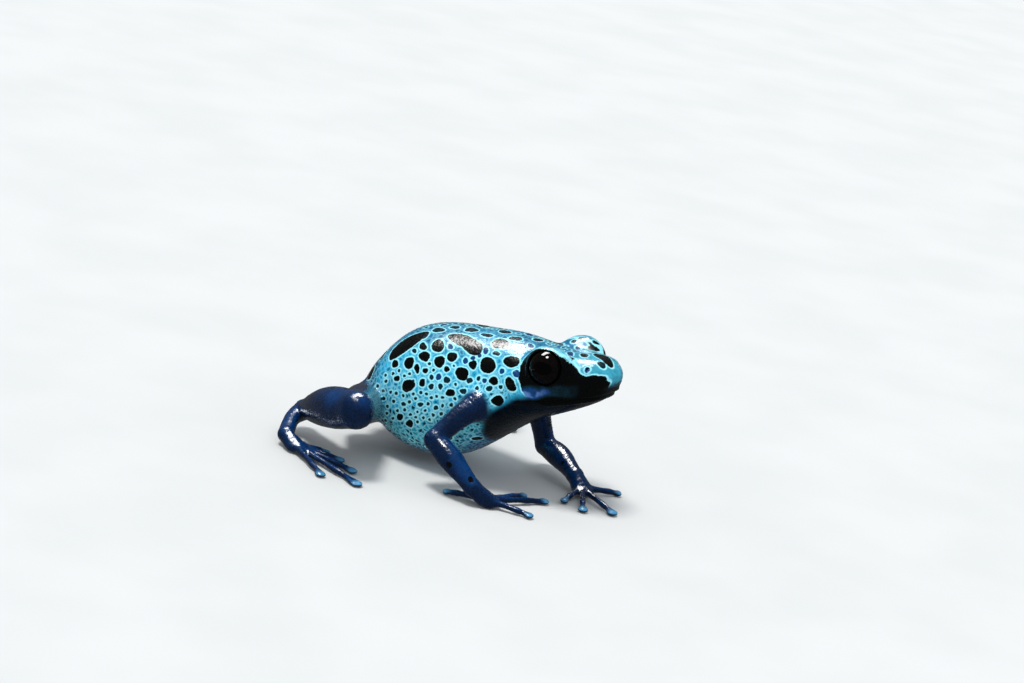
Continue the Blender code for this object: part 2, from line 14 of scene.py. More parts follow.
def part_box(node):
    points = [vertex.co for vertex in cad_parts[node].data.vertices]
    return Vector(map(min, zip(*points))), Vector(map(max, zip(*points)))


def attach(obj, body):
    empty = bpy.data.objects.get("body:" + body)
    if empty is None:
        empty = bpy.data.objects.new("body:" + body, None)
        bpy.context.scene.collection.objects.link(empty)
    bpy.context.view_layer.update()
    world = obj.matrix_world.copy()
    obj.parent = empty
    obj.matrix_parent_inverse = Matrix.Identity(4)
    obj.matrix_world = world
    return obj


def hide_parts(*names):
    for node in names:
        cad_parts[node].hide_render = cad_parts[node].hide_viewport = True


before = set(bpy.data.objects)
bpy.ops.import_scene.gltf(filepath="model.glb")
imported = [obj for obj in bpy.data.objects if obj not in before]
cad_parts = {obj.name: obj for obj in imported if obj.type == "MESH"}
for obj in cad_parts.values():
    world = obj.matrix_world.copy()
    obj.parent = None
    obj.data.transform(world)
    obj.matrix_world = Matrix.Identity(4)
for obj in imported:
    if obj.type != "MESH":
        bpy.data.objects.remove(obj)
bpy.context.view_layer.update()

MM = 0.001
CELL = 0.1
FAR = 9.0
MARGIN = 1.4
SEED = 20

# The skin is held inside the solids, with its soles cut flat just above the floor
HELD_INSIDE = 0.03
SOLE_HEIGHT = -0.02
SOLE_BLEND = 0.08
SOLE_REACH = 1.5

# The body's own frame is pitched nose up and lifted; x runs along the back
BODY_PITCH = math.radians(12)
BODY_HEIGHT = 7.5
VENT_X = -11.4
SNOUT_X = 23.1

# Stations along the body: x, top, bottom, half-width, height of the widest line, boxiness
STATIONS = (
    (-11.4, 3.4, 0.4, 2.6, 1.6, 2.0),
    (-9.6, 4.3, -1.7, 4.3, 1.3, 2.0),
    (-7.4, 6.3, -4.0, 5.9, 0.9, 2.1),
    (-4.4, 8.5, -5.9, 7.1, 0.5, 2.1),
    (-1.0, 9.4, -6.6, 7.6, 0.4, 2.1),
    (3.0, 9.5, -6.1, 7.4, 0.6, 2.1),
    (6.6, 9.3, -4.3, 6.8, 1.2, 2.15),
    (10.0, 9.0, -2.3, 6.3, 2.0, 2.25),
    (13.0, 8.2, -0.9, 6.2, 2.6, 2.4),
    (16.0, 7.7, 0.1, 5.6, 3.1, 2.55),
    (18.6, 7.5, 1.0, 4.7, 3.7, 2.6),
    (21.0, 7.1, 2.1, 3.6, 4.4, 2.5),
    (23.1, 6.5, 3.7, 2.6, 5.1, 2.3),
)
RUMP_ROUNDING = 3.0
SNOUT_ROUNDING = 2.2

# Head features in the body's own frame, with y out from the midline
EYE = (15.9, 4.35, 6.15)
EYE_RADIUS = 2.25
EYE_FACING = (0.2, 0.97, 0.12)
EYE_RINGS, EYE_SIDES = 48, 96
DOME_FLAT = 0.02
LID_CENTRE = (15.9, 4.05, 6.1)
LID_RADII = (3.05, 2.1, 2.6)
LID_BLEND = 0.9
LID_OPENING = (3.2, 2.15, 2.05)
LID_OPENING_OUT = 2.2
LID_RIM_RADII = (2.2, 2.1)
LID_RIM_OUT = 0.82
LID_RIM_GIRTH = (
    (0, 0.16, 0.16), (0.25, 0.24, 0.24), (0.5, 0.16, 0.16), (0.75, 0.14, 0.14), (1, 0.16, 0.16),
)
NOSTRIL = (20.6, 6.1)
NOSTRIL_OUT = (0.25, 1.0, 0.45)
NOSTRIL_RIM = (0.55, 0.55, 0.5)
NOSTRIL_HOLE = (0.26, 0.26, 0.32)
NOSTRIL_SPOT = (0.4, 0.32)
EARDRUM = (11.9, 4.6)
EARDRUM_OUT = (-0.05, 0.93, 0.36)
EARDRUM_RADIUS = 0.8
EARDRUM_RIM = 1.3
EARDRUM_THICK = (0.16, 0.34)

# The mouth: its corner, its height below the snout, how it curves between them, and steps along each side
MOUTH_CORNER = (12.0, 1.9)
MOUTH_FRONT_Z = 3.1
MOUTH_CURVE = 1.3
MOUTH_STEPS = 26

# The upper lip, the lower lip and the line between them: lift, radius, depth, whether it is carved
MOUTH_LINES = ((0.34, 0.34, 0.26, False), (-0.3, 0.3, 0.24, False), (0.0, 0.16, 0.04, True))

# Joints of the legs in the floor's frame, with y out from the midline
RIGHT, LEFT = -1, 1
ARM_JOINTS = {
    "right": {
        "shoulder": (8.0, 4.8, 11.3),
        "elbow": (4.7, 10.6, 6.0),
        "wrist": (11.0, 10.9, 2.1),
        "palm": (12.4, 9.6, 0.8),
    },
    "left": {
        "shoulder": (8.0, 4.8, 11.0),
        "elbow": (9.2, 9.2, 2.9),
        "wrist": (15.6, 5.8, 1.7),
        "palm": (17.2, 4.9, 0.8),
    },
}
FINGER_TIPS = {
    "right": ((13.7, 2.4), (16.5, 1.8), (18.3, 8.3), (6.9, 10.6)),
    "left": ((17.6, -0.4), (20.8, -1.0), (23.8, 1.6), (20.6, 9.2)),
}
LEG_JOINTS = {
    "hip": (-10.5, 2.4, 4.0),
    "knee": (-2.8, 16.5, 8.3),
    "heel": (-15.5, 7.4, 2.7),
    "instep": (-13.4, 14.0, 1.4),
    "sole": (-11.6, 14.6, 0.8),
}
TOE_TIPS = ((-8.0, 12.0), (-5.4, 12.8), (-2.4, 14.8), (0.4, 18.2), (-4.0, 19.6))
UPPER_ARM_GIRTH = ((0, 2.1, 2.1), (0.4, 1.55, 1.6), (0.8, 1.3, 1.3), (1, 1.3, 1.3))
FOREARM_GIRTH = ((0, 1.3, 1.3), (0.35, 1.5, 1.5), (0.75, 1.2, 1.2), (1, 1.1, 1.05))
THIGH_GIRTH = ((0, 2.3, 2.4), (0.35, 2.5, 2.6), (0.8, 2.1, 2.2), (1, 1.9, 2.0))
SHANK_GIRTH = ((0, 2.1, 2.2), (0.22, 2.4, 2.5), (0.45, 2.4, 2.5), (0.75, 1.8, 1.8), (1, 1.25, 1.25))
TARSUS_GIRTH = ((0, 1.25, 1.25), (0.5, 1.0, 1.0), (1, 1.05, 1.0))

# How far each length bows at its middle: ahead, out and up
UPPER_ARM_BOW = (-0.2, 0.4, 0.2)
FOREARM_BOW = (0.0, 0.2, 0.25)
THIGH_BOW = (0.2, 0.0, 0.4)
SHANK_BOW = (0.2, 0.6, 0.5)
TARSUS_BOW = (-0.5, 0.0, 0.2)
FINGER_DISCS = (0.58, 0.7, 0.78, 0.7)
TOE_DISCS = (0.5, 0.6, 0.68, 0.76, 0.64)
PALM_WIDTHS = (1.1, 1.35)
SOLE_WIDTHS = (1.0, 1.3)

# Along a palm or sole: share, which of its two widths, half-width in that width, half-height in the first one
PALM_GIRTH = ((0.0, 0, 1, 1), (0.4, 0, 1, 0.95), (0.75, 1, 1, 0.85), (1.0, 1, 0.8, 0.7))

# Along a digit, in its thickness: its joint pads as half-width and half-height, then the heights of its disc
DIGIT_THICK = 0.44
DIGIT_HEIGHT = 0.3
DIGIT_GIRTH = ((0.0, 1.2, 1.1), (0.36, 1, 1), (0.52, 0.84, 0.9), (0.66, 1, 1), (0.8, 0.8, 0.85))
DISC_GIRTH = ((0.9, 0.78), (1.0, 0.6))
DISC_START = 0.84
DIGIT_BLEND = 0.28

# The two scutes of a disc, in its half-widths and at last in mm: radii, and places behind, apart and above
SCUTE = (0.62, 0.3, 0.2)
SCUTE_PLACE = (1.15, 0.36, 0.2)
SCUTE_BLEND = 0.07

# How lengths of leg meet: how far they run past their joints, and blends as reach, width there and beyond
JOINT_RUN = 0.9
ELBOW_BLEND = (1.0, 0.35, 0.35)
KNEE_BLEND = (6.5, 0.8, 0.3)
SHOULDER_BLEND = (6.5, 1.3, 0.12)
HIP_BLEND = (7.5, 1.6, 0.12)
LEG_ROOM = 4.2
LENGTH_ROOM = 4.0
ARM_LENGTHS = ((UPPER_ARM_BOW, UPPER_ARM_GIRTH), (FOREARM_BOW, FOREARM_GIRTH))
LEG_LENGTHS = ((THIGH_BOW, THIGH_GIRTH), (SHANK_BOW, SHANK_GIRTH), (TARSUS_BOW, TARSUS_GIRTH))
HAND = (FINGER_DISCS, PALM_WIDTHS, 0.3)
FOOT = (TOE_DISCS, SOLE_WIDTHS, 0.25)

# The camera stands where the photo's did, about the body's own frame: yaw, height, and pixels to a millimetre
PHOTO_SIZE = (1024, 683)
PHOTO_ORIGIN = (450, 400)
PHOTO_YAW = math.radians(30)
PHOTO_HEIGHT = math.radians(10)
PHOTO_SCALE = 8.3
LENS = 100
SENSOR = 36
FOCAL = PHOTO_SIZE[0] * LENS / SENSOR
CLIP = (0.01, 20)

# The studio, in metres and watts
FROG_MIDDLE = (0, 0, 0.008)
FLOOR_REACH = 3.0
FLOOR_SIDES = 96
FLOOR_GAP = 0.00002
WINDOW_DISTANCE = 0.24
WINDOW_SIZE = (0.18, 0.07)
WINDOW_POWER = 1.3
WINDOW_COLOUR = (1.0, 0.99, 0.97)
SUN_STRENGTH = 2.3
SUN_ANGLE = math.radians(14)
SUN_COLOUR = (1.0, 0.98, 0.95)
SKY_COLOUR = (0.9, 0.95, 1.0, 1)
SKY_STRENGTH = 0.8
SKY_MIRRORED = 0.08


def unit(vector):
    """A vector made one long."""
    vector = np.asarray(vector, float)
    return vector / np.linalg.norm(vector)


def smooth_step(value, low, high):
    """Rises smoothly from 0 at low to 1 at high."""
    t = np.clip((value - low) / (high - low), 0, 1)
    return t * t * (3 - 2 * t)


def body_to_floor(points, turn_only=False):
    """Carries points or directions from the body's own frame to the floor's."""
    x, y, z = np.moveaxis(np.asarray(points, float), -1, 0)
    c, s = math.cos(BODY_PITCH), math.sin(BODY_PITCH)
    lift = 0 if turn_only else BODY_HEIGHT
    return np.stack([x * c - z * s, y + 0 * x, x * s + z * c + lift], axis=-1)


def floor_to_body(x, z):
    """The x and z of the body's own frame at an x and z of the floor's."""
    c, s = math.cos(BODY_PITCH), math.sin(BODY_PITCH)
    return x * c + (z - BODY_HEIGHT) * s, (z - BODY_HEIGHT) * c - x * s


def row_shift():
    """What is added to the floor's frame to reach the row's, in mm, from where the right eye lies in both."""
    low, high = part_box("eye_right")
    eye = body_to_floor((EYE[0], -EYE[1], EYE[2]))
    return np.array((low + high) / 2) / MM - eye


SHIFT = row_shift()


def to_row(points):
    """Carries points in mm in the floor's frame to metres in the row's."""
    return (np.asarray(points, float) + SHIFT) * MM


# Camera

def camera_frame():
    """The camera's place in mm and its right, up and back directions, in the floor's frame."""
    a, e = PHOTO_YAW, PHOTO_HEIGHT
    back = np.array([math.sin(a) * math.cos(e), -math.cos(a) * math.cos(e), math.sin(e)])
    right = np.array([math.cos(a), math.sin(a), 0.0])
    up = np.cross(back, right)
    back, right, up = (body_to_floor(v, turn_only=True) for v in (back, right, up))
    distance = FOCAL / PHOTO_SCALE
    aside, down = ((at - size / 2) / FOCAL for at, size in zip(PHOTO_ORIGIN, PHOTO_SIZE))
    origin = body_to_floor((0, 0, 0))
    place = origin + back * distance - right * aside * distance + up * down * distance
    return place, right, up, back


CAMERA, CAMERA_RIGHT, CAMERA_UP, CAMERA_BACK = camera_frame()


def pixel_ray(px, py):
    """The direction from the camera through a pixel of the photo."""
    across, down = ((at - size / 2) / FOCAL for at, size in zip((px, py), PHOTO_SIZE))
    return unit(-CAMERA_BACK + CAMERA_RIGHT * across - CAMERA_UP * down)


def add_object(name, data):
    """A new object that holds data, linked to the scene."""
    obj = bpy.data.objects.new(name, data)
    bpy.context.scene.collection.objects.link(obj)
    return obj


def make_camera():
    """The scene's camera, at the photo's viewing angle."""
    data = bpy.data.cameras.new("camera")
    data.lens = LENS
    data.sensor_width = SENSOR
    data.clip_start, data.clip_end = CLIP
    camera = add_object("camera", data)
    matrix = np.eye(4)
    matrix[:3, 0], matrix[:3, 1], matrix[:3, 2] = CAMERA_RIGHT, CAMERA_UP, CAMERA_BACK
    matrix[:3, 3] = to_row(CAMERA)
    camera.matrix_world = Matrix(matrix.tolist())
    bpy.context.scene.camera = camera


def on_side(point, side):
    """A point or an offset with y out from the midline, on one side."""
    return np.array(point) * (1, side, 1)


# Curves

def natural_spline(xs, ys, at):
    """The smooth cubic curve through the points (xs, ys), read at the places in at."""
    xs, ys, at = (np.asarray(v, float) for v in (xs, ys, at))
    count, step = len(xs), np.diff(xs)
    rows, right = np.eye(count), np.zeros(count)
    for i in range(1, count - 1):
        rows[i, i - 1 : i + 2] = step[i - 1], 2 * (step[i - 1] + step[i]), step[i]
        right[i] = 6 * ((ys[i + 1] - ys[i]) / step[i] - (ys[i] - ys[i - 1]) / step[i - 1])
    bend = np.linalg.solve(rows, right)
    i = np.clip(np.searchsorted(xs, at) - 1, 0, count - 2)
    a, b = (xs[i + 1] - at) / step[i], (at - xs[i]) / step[i]
    curve = (a**3 - a) * bend[i] + (b**3 - b) * bend[i + 1]
    return a * ys[i] + b * ys[i + 1] + curve * step[i] ** 2 / 6


def catmull_rom(points, shares):
    """Points at shares of the way along a smooth curve through points."""
    points = np.asarray(points, float)
    points = np.vstack([2 * points[0] - points[1], points, 2 * points[-1] - points[-2]])
    spans = len(points) - 3
    at = np.minimum(np.asarray(shares) * spans, spans - 1e-9)
    i = at.astype(int)
    t = (at - i)[:, None]
    a, b, c, d = (points[i + k] for k in range(4))
    return (2 * b + (c - a) * t + (2 * a - 5 * b + 4 * c - d) * t**2 + (3 * b - a - 3 * c + d) * t**3) / 2


def tube(path, girth, spacing=0.35):
    """The centres, half-widths and half-heights of close balls that fill a tube along a smooth path."""
    fine = catmull_rom(path, np.linspace(0, 1, 201))
    run = np.concatenate([[0], np.cumsum(np.linalg.norm(np.diff(fine, axis=0), axis=1))])
    length = run[-1]
    shares, widths, heights = np.array(girth, float).T
    start, end = widths[0], widths[-1]
    stops = np.linspace(start, length - end, max(int((length - start - end) / spacing), 2))
    centres = np.stack([np.interp(stops, run, fine[:, k]) for k in range(3)], axis=1)
    wide, high = (natural_spline(shares, values, stops / length) for values in (widths, heights))
    return centres, wide, high


# Body sections

PROFILE_X = np.linspace(VENT_X, SNOUT_X, 800)
TABLE = np.array(STATIONS)
PROFILE = [natural_spline(TABLE[:, 0], TABLE[:, k], PROFILE_X) for k in range(1, 6)]


def section(x):
    """Top, bottom, half-width, height of the widest line and boxiness of the body at x."""
    return [np.interp(x, PROFILE_X, values) for values in PROFILE]


def end_inset(x):
    """How far x lies into the rounding of the rump or the snout: 0 before it, 1 at its end."""
    snout = (x - SNOUT_X + SNOUT_ROUNDING) / SNOUT_ROUNDING
    rump = (VENT_X + RUMP_ROUNDING - x) / RUMP_ROUNDING
    return np.maximum(np.maximum(snout, rump), 0)


def skin_y(x, z):
    """How far from the midline the skin of the body lies at x and z of its own frame."""
    top, bottom, half, waist, boxy = section(x)
    shrink = math.sqrt(max(1 - end_inset(x) ** 2, 1e-9))
    reach = (top - waist) if z > waist else (waist - bottom)
    level = min(abs(z - waist) / (reach * shrink), 1.0)
    return float(half * shrink * (1 - level**boxy) ** (1 / boxy))


def mouth_height(x):
    """Height of the line of the mouth at x."""
    share = (x - MOUTH_CORNER[0]) / (SNOUT_X - MOUTH_CORNER[0])
    return MOUTH_CORNER[1] + (MOUTH_FRONT_Z - MOUTH_CORNER[1]) * share**MOUTH_CURVE


def lowest_front(lift):
    """Where the line of the mouth, raised by lift, crosses the midline below the snout."""
    xs = np.linspace(MOUTH_CORNER[0], SNOUT_X, 400)
    _, bottom, _, waist, _ = section(xs)
    shrink = np.sqrt(np.maximum(1 - end_inset(xs) ** 2, 0))
    below = waist - (waist - bottom) * shrink < mouth_height(xs) + lift
    return xs[np.nonzero(below)[0][-1]]


def mouth_path(lift, sink):
    """Points along the mouth, sunk in the skin, from the right corner round the snout to the left one."""
    front = lowest_front(lift)
    outline = []
    for k in range(-MOUTH_STEPS, MOUTH_STEPS + 1):
        x = MOUTH_CORNER[0] + (front - MOUTH_CORNER[0]) * math.cos(k / MOUTH_STEPS * math.pi / 2)
        z = mouth_height(x) + lift
        outline.append((x, math.copysign(skin_y(x, z), k) if k else 0.0, z))
    outline = np.array(outline)
    along = np.gradient(outline, axis=0)
    inward = np.stack([-along[:, 1], along[:, 0], 0 * along[:, 0]], axis=1)
    inward /= np.linalg.norm(inward, axis=1)[:, None]
    return body_to_floor(outline + inward * sink)


# Distance fields on one grid

LOW = np.array([-18.4, -21.0, -0.6])
HIGH = np.array([25.2, 21.0, 20.6])
AXES = [np.arange(LOW[k], HIGH[k], CELL) for k in range(3)]
COUNT = np.array([len(axis) for axis in AXES])
CORNERS = list(np.ndindex(2, 2, 2))


def smooth_min(a, b, blend):
    """The smaller of two fields, rounded where they come within blend of each other."""
    h = np.clip(0.5 + 0.5 * (b - a) / blend, 0, 1)
    return b + (a - b) * h - blend * h * (1 - h)


def between_corners(fractions, read):
    """Values straight between a cell's eight corners, each read with its offset."""
    total = 0
    for corner in CORNERS:
        share = np.prod([fractions[:, k] if corner[k] else 1 - fractions[:, k] for k in range(3)], axis=0)
        total = total + share * read(corner)
    return total


def cells_of(low, high, first, last):
    """The first and last cells of a box, kept between two others."""
    first_cell = np.floor((np.asarray(low) - LOW) / CELL).astype(int)
    last_cell = np.ceil((np.asarray(high) - LOW) / CELL).astype(int)
    return np.clip(first_cell, first, last), np.clip(last_cell, first, last)


class Field:
    """Distances from a surface in mm, below zero inside it, on a box of the grid."""

    def __init__(self, low, high):
        self.first, self.last = cells_of(low, high, 0, COUNT - 1)
        self.values = np.full(self.last - self.first + 1, FAR, np.float32)

    def window(self, low, high):
        """The slices of a smaller box, and its coordinates ready to be combined."""
        a, b = cells_of(low, high, self.first, self.last)
        cut = tuple(slice(a[k] - self.first[k], b[k] - self.first[k] + 1) for k in range(3))
        x, y, z = (AXES[k][a[k] : b[k] + 1].astype(np.float32) for k in range(3))
        return cut, x[:, None, None], y[None, :, None], z[None, None, :]

    def add_tube(self, path, girth):
        """Joins a tube along a path."""
        centres, widths, heights = tube(path, girth)
        for i in range(len(centres) - 1):
            p, q = centres[i], centres[i + 1]
            reach = max(widths[i], widths[i + 1], heights[i], heights[i + 1]) + MARGIN
            cut, x, y, z = self.window(np.minimum(p, q) - reach, np.maximum(p, q) + reach)
            along = q - p
            t = ((x - p[0]) * along[0] + (y - p[1]) * along[1] + (z - p[2]) * along[2]) / (along @ along)
            t = np.clip(t, 0, 1)
            w = widths[i] + t * (widths[i + 1] - widths[i])
            h = heights[i] + t * (heights[i + 1] - heights[i])
            flat = ((x - p[0] - t * along[0]) ** 2 + (y - p[1] - t * along[1]) ** 2) / w**2
            distance = (np.sqrt(flat + ((z - p[2] - t * along[2]) / h) ** 2) - 1) * np.minimum(w, h)
            np.minimum(self.values[cut], distance, out=self.values[cut])

    def add_ball(self, centre, radii, turn=np.eye(3), blend=0.3, carve=False):
        """Joins an ellipsoid, or carves it away. The rows of turn are the directions of its radii."""
        centre, radii = np.asarray(centre, float), np.asarray(radii, float)
        reach = radii.max() + MARGIN
        cut, x, y, z = self.window(centre - reach, centre + reach)
        x, y, z = x - centre[0], y - centre[1], z - centre[2]
        local = [(x * axis[0] + y * axis[1] + z * axis[2]) / r for axis, r in zip(turn, radii)]
        level = np.sqrt(sum(v * v for v in local)) + 1e-6
        slope = np.sqrt(sum((v / r) ** 2 for v, r in zip(local, radii))) / level
        distance = (level - 1) / slope
        here = self.values[cut]
        if carve:
            self.values[cut] = -smooth_min(-here, distance, blend)
        else:
            self.values[cut] = smooth_min(here, distance, blend)

    def merge(self, other, blend, carve=False):
        """Joins another field, or carves it away, with a blend in mm that may be an array over its box."""
        first, last = np.maximum(self.first, other.first), np.minimum(self.last, other.last)
        mine = tuple(slice(first[k] - self.first[k], last[k] - self.first[k] + 1) for k in range(3))
        theirs = tuple(slice(first[k] - other.first[k], last[k] - other.first[k] + 1) for k in range(3))
        near = blend
        if isinstance(blend, np.ndarray):
            near = blend[mine if blend.shape == self.values.shape else theirs]
        if carve:
            self.values[mine] = -smooth_min(-self.values[mine], other.values[theirs], near)
        else:
            self.values[mine] = smooth_min(self.values[mine], other.values[theirs], near)

    def near(self, point, reach, inner, outer):
        """A blend that falls from inner at a point to outer at reach from it."""
        x, y, z = (AXES[k][self.first[k] : self.last[k] + 1].astype(np.float32) for k in range(3))
        away = np.sqrt(
            (x[:, None, None] - point[0]) ** 2
            + (y[None, :, None] - point[1]) ** 2
            + (z[None, None, :] - point[2]) ** 2
        )
        return outer + (inner - outer) * (1 - smooth_step(away, reach * 0.4, reach)).astype(np.float32)

    def read(self, points):
        """Values at points, straight between the grid's."""
        at = np.clip((points - LOW) / CELL - self.first, 0, np.array(self.values.shape) - 1.001)
        cells = at.astype(int)
        return between_corners(at - cells, lambda corner: self.values[tuple((cells + corner).T)])


def box_of(points, reach):
    """The corners of a box round points, with reach to spare."""
    points = np.asarray(points, float)
    return points.min(axis=0) - reach, points.max(axis=0) + reach


# Body and head

def body_field():
    """The head and torso, without features."""
    field = Field((-17, -9.5, -0.6), (25, 9.5, 20.6))
    x, y, z = (AXES[k][field.first[k] : field.last[k] + 1] for k in range(3))
    along, up = floor_to_body(x[:, None], z[None, :])
    top, bottom, half, waist, boxy = section(np.clip(along, VENT_X, SNOUT_X))
    up = up - waist
    reach = np.where(up > 0, top - waist, waist - bottom)
    height = (np.abs(up) / reach) ** boxy
    inset = end_inset(along)
    height, half, boxy, inset = (v.astype(np.float32)[:, None, :] for v in (height, half, boxy, inset))
    width = (np.abs(y).astype(np.float32)[None, :, None] / half) ** boxy
    level = np.sqrt((width + height) ** (2 / boxy) + inset**2) - 1
    slope = np.sqrt(sum(part**2 for part in np.gradient(level, CELL)))
    field.values = (level / np.maximum(slope, 0.04)).astype(np.float32)
    return field


def eye_axes(side):
    """The direction an eye looks in, and its across and up directions, in the floor's frame."""
    ahead = unit(body_to_floor(on_side(EYE_FACING, side), turn_only=True))
    across = unit(np.cross(ahead, (0, 0, 1)))
    return np.stack([ahead, across, np.cross(across, ahead)])


def body_axes():
    """The body's own directions in the floor's frame."""
    return np.stack([body_to_floor(v, turn_only=True) for v in np.eye(3)])


def add_lids(field, side):
    """The dome of an eye's lids, blended into the brow, with a round opening for the eyeball."""
    axes = eye_axes(side)
    eye, lids = (body_to_floor(on_side(place, side)) for place in (EYE, LID_CENTRE))
    field.add_ball(lids, LID_RADII, body_axes(), blend=LID_BLEND)
    turns = np.linspace(0, 2 * math.pi, 49)
    across, up = LID_RIM_RADII
    circle = np.outer(np.cos(turns) * across, axes[1]) + np.outer(np.sin(turns) * up, axes[2])
    rim_path = eye + axes[0] * LID_RIM_OUT + circle
    rim = Field(*box_of(rim_path, 2.0))
    rim.add_tube(rim_path, LID_RIM_GIRTH)
    field.merge(rim, 0.3)
    field.add_ball(eye + axes[0] * LID_OPENING_OUT, LID_OPENING, axes, blend=0.1, carve=True)
    field.add_ball(eye, (EYE_RADIUS + 0.02,) * 3, blend=0.05, carve=True)


def nostril_place(side):
    """The middle of a nostril on the skin, and the direction that it opens in."""
    tip = body_to_floor((NOSTRIL[0], side * skin_y(*NOSTRIL), NOSTRIL[1]))
    return tip, unit(body_to_floor(on_side(NOSTRIL_OUT, side), turn_only=True))


def add_nostril(field, side):
    """A nostril: a low rim with a small slanting hole."""
    tip, out = nostril_place(side)
    field.add_ball(tip - out * 0.18, NOSTRIL_RIM, blend=0.35)
    field.add_ball(tip - out * 0.02, NOSTRIL_HOLE, blend=0.08, carve=True)


def add_eardrum(field, side):
    """An eardrum: a round, slightly sunk disc in a low rim."""
    x, z = EARDRUM
    centre = body_to_floor((x, side * skin_y(x, z), z))
    out = unit(body_to_floor(on_side(EARDRUM_OUT, side), turn_only=True))
    across = unit(np.cross(out, (0, 0, 1)))
    turn = np.stack([out, across, np.cross(across, out)])
    rim, wide = EARDRUM_RADIUS * EARDRUM_RIM, EARDRUM_RADIUS
    field.add_ball(centre - out * 0.02, (EARDRUM_THICK[0], rim, rim), turn, blend=0.25)
    field.add_ball(centre + out * 0.3, (EARDRUM_THICK[1], wide, wide), turn, blend=0.12, carve=True)


def add_mouth(field):
    """The upper lip, the lower lip and the line between them."""
    for lift, radius, sink, carve in MOUTH_LINES:
        path = mouth_path(lift, sink)
        line = Field(*box_of(path, 2.0))
        end = radius * 0.6
        line.add_tube(path, ((0, end, end), (0.5, radius, radius), (1, end, end)))
        field.merge(line, 0.1 if carve else 0.3, carve)


# Legs

def limb(start, end, bow, girth, rooted=False):
    """The path and girth of a length of leg that runs past its joints by its own radius."""
    middle = (start + end) / 2 + bow
    head = 0.0 if rooted else girth[0][1] * JOINT_RUN
    tail = girth[-1][1] * JOINT_RUN
    first = start - unit(middle - start) * head
    last = end + unit(end - middle) * tail
    run = np.linalg.norm(middle - start) + np.linalg.norm(end - middle)
    whole = head + run + tail
    spread = [((head + share * run) / whole, width, height) for share, width, height in girth]
    if not rooted:
        spread.insert(0, (0.0, *spread[0][1:]))
    spread.append((1.0, *spread[-1][1:]))
    path = (start, middle, end, last) if rooted else (first, start, middle, end, last)
    return path, spread


def digit_ends(tips):
    """The middles of the discs, from their places on the floor."""
    return [np.array((x, y, DIGIT_HEIGHT)) for x, y in tips]


def add_digit(foot, root, knuckle, tip, disc):
    """A finger or toe with its joint pads, and a disc with two small scutes on top."""
    middle = (knuckle + tip) / 2
    middle[2] = 2 * DIGIT_HEIGHT
    path = (root, knuckle, middle, knuckle + (tip - knuckle) * DISC_START, tip)
    girth = [(share, DIGIT_THICK * wide, DIGIT_THICK * high) for share, wide, high in DIGIT_GIRTH]
    girth += [(share, disc, DIGIT_THICK * high) for share, high in DISC_GIRTH]
    digit = Field(*box_of(path, 2.6))
    digit.add_tube(path, girth)
    along = unit(tip[:2] - knuckle[:2])
    ahead, aside = np.array((*along, 0.0)), np.array((-along[1], along[0], 0.0))
    behind, apart, above = SCUTE_PLACE
    end = tip - ahead * disc * behind
    for sign in (-1, 1):
        scute = end + aside * sign * disc * apart + np.array((0, 0, above))
        radii = (disc * SCUTE[0], disc * SCUTE[1], SCUTE[2])
        digit.add_ball(scute, radii, np.stack([ahead, aside, (0, 0, 1)]), blend=SCUTE_BLEND)
    foot.merge(digit, DIGIT_BLEND)


def foot_field(before, joint, palm, tips, discs, widths):
    """A palm or sole with its digits."""
    narrow, wide = widths
    along, ahead = unit(joint - before), unit(palm - joint)
    girth = [(share, widths[end] * across, narrow * high) for share, end, across, high in PALM_GIRTH]
    path = (joint - along * narrow, joint, palm, palm + ahead * wide)
    foot = Field(*box_of([*path, *digit_ends(tips)], 2.8))
    foot.add_tube(path, girth)
    root = palm + (joint - palm) * 0.2
    for tip, disc in zip(digit_ends(tips), discs):
        away = unit((tip - palm) * (1, 1, 0))
        add_digit(foot, root, palm + away * wide * 0.95, tip, disc)
    return foot


def leg_field(side, joints, tips, lengths, bend, foot, root):
    """A leg from its root to its digits, and the blend with which it joins the body."""
    joints = [on_side(point, side) for point in joints.values()]
    tips = [(x, side * y) for x, y in tips]
    leg = Field(*box_of([*joints, *digit_ends(tips)], LEG_ROOM))
    at_bend = leg.near(joints[1], *bend)
    for number, (bow, girth) in enumerate(lengths):
        path, girth = limb(joints[number], joints[number + 1], on_side(bow, side), girth, rooted=number == 0)
        length = Field(*box_of(path, LENGTH_ROOM))
        length.add_tube(path, girth)
        leg.merge(length, at_bend)
    discs, widths, blend = foot
    leg.merge(foot_field(*joints[-3:], tips, discs, widths), blend)
    return leg, leg.near(joints[0], *root)


# Surface of a field

CELL_EDGES = [
    (a, b)
    for a in range(8)
    for b in range(a + 1, 8)
    if sum(abs(CORNERS[a][k] - CORNERS[b][k]) for k in range(3)) == 1
]


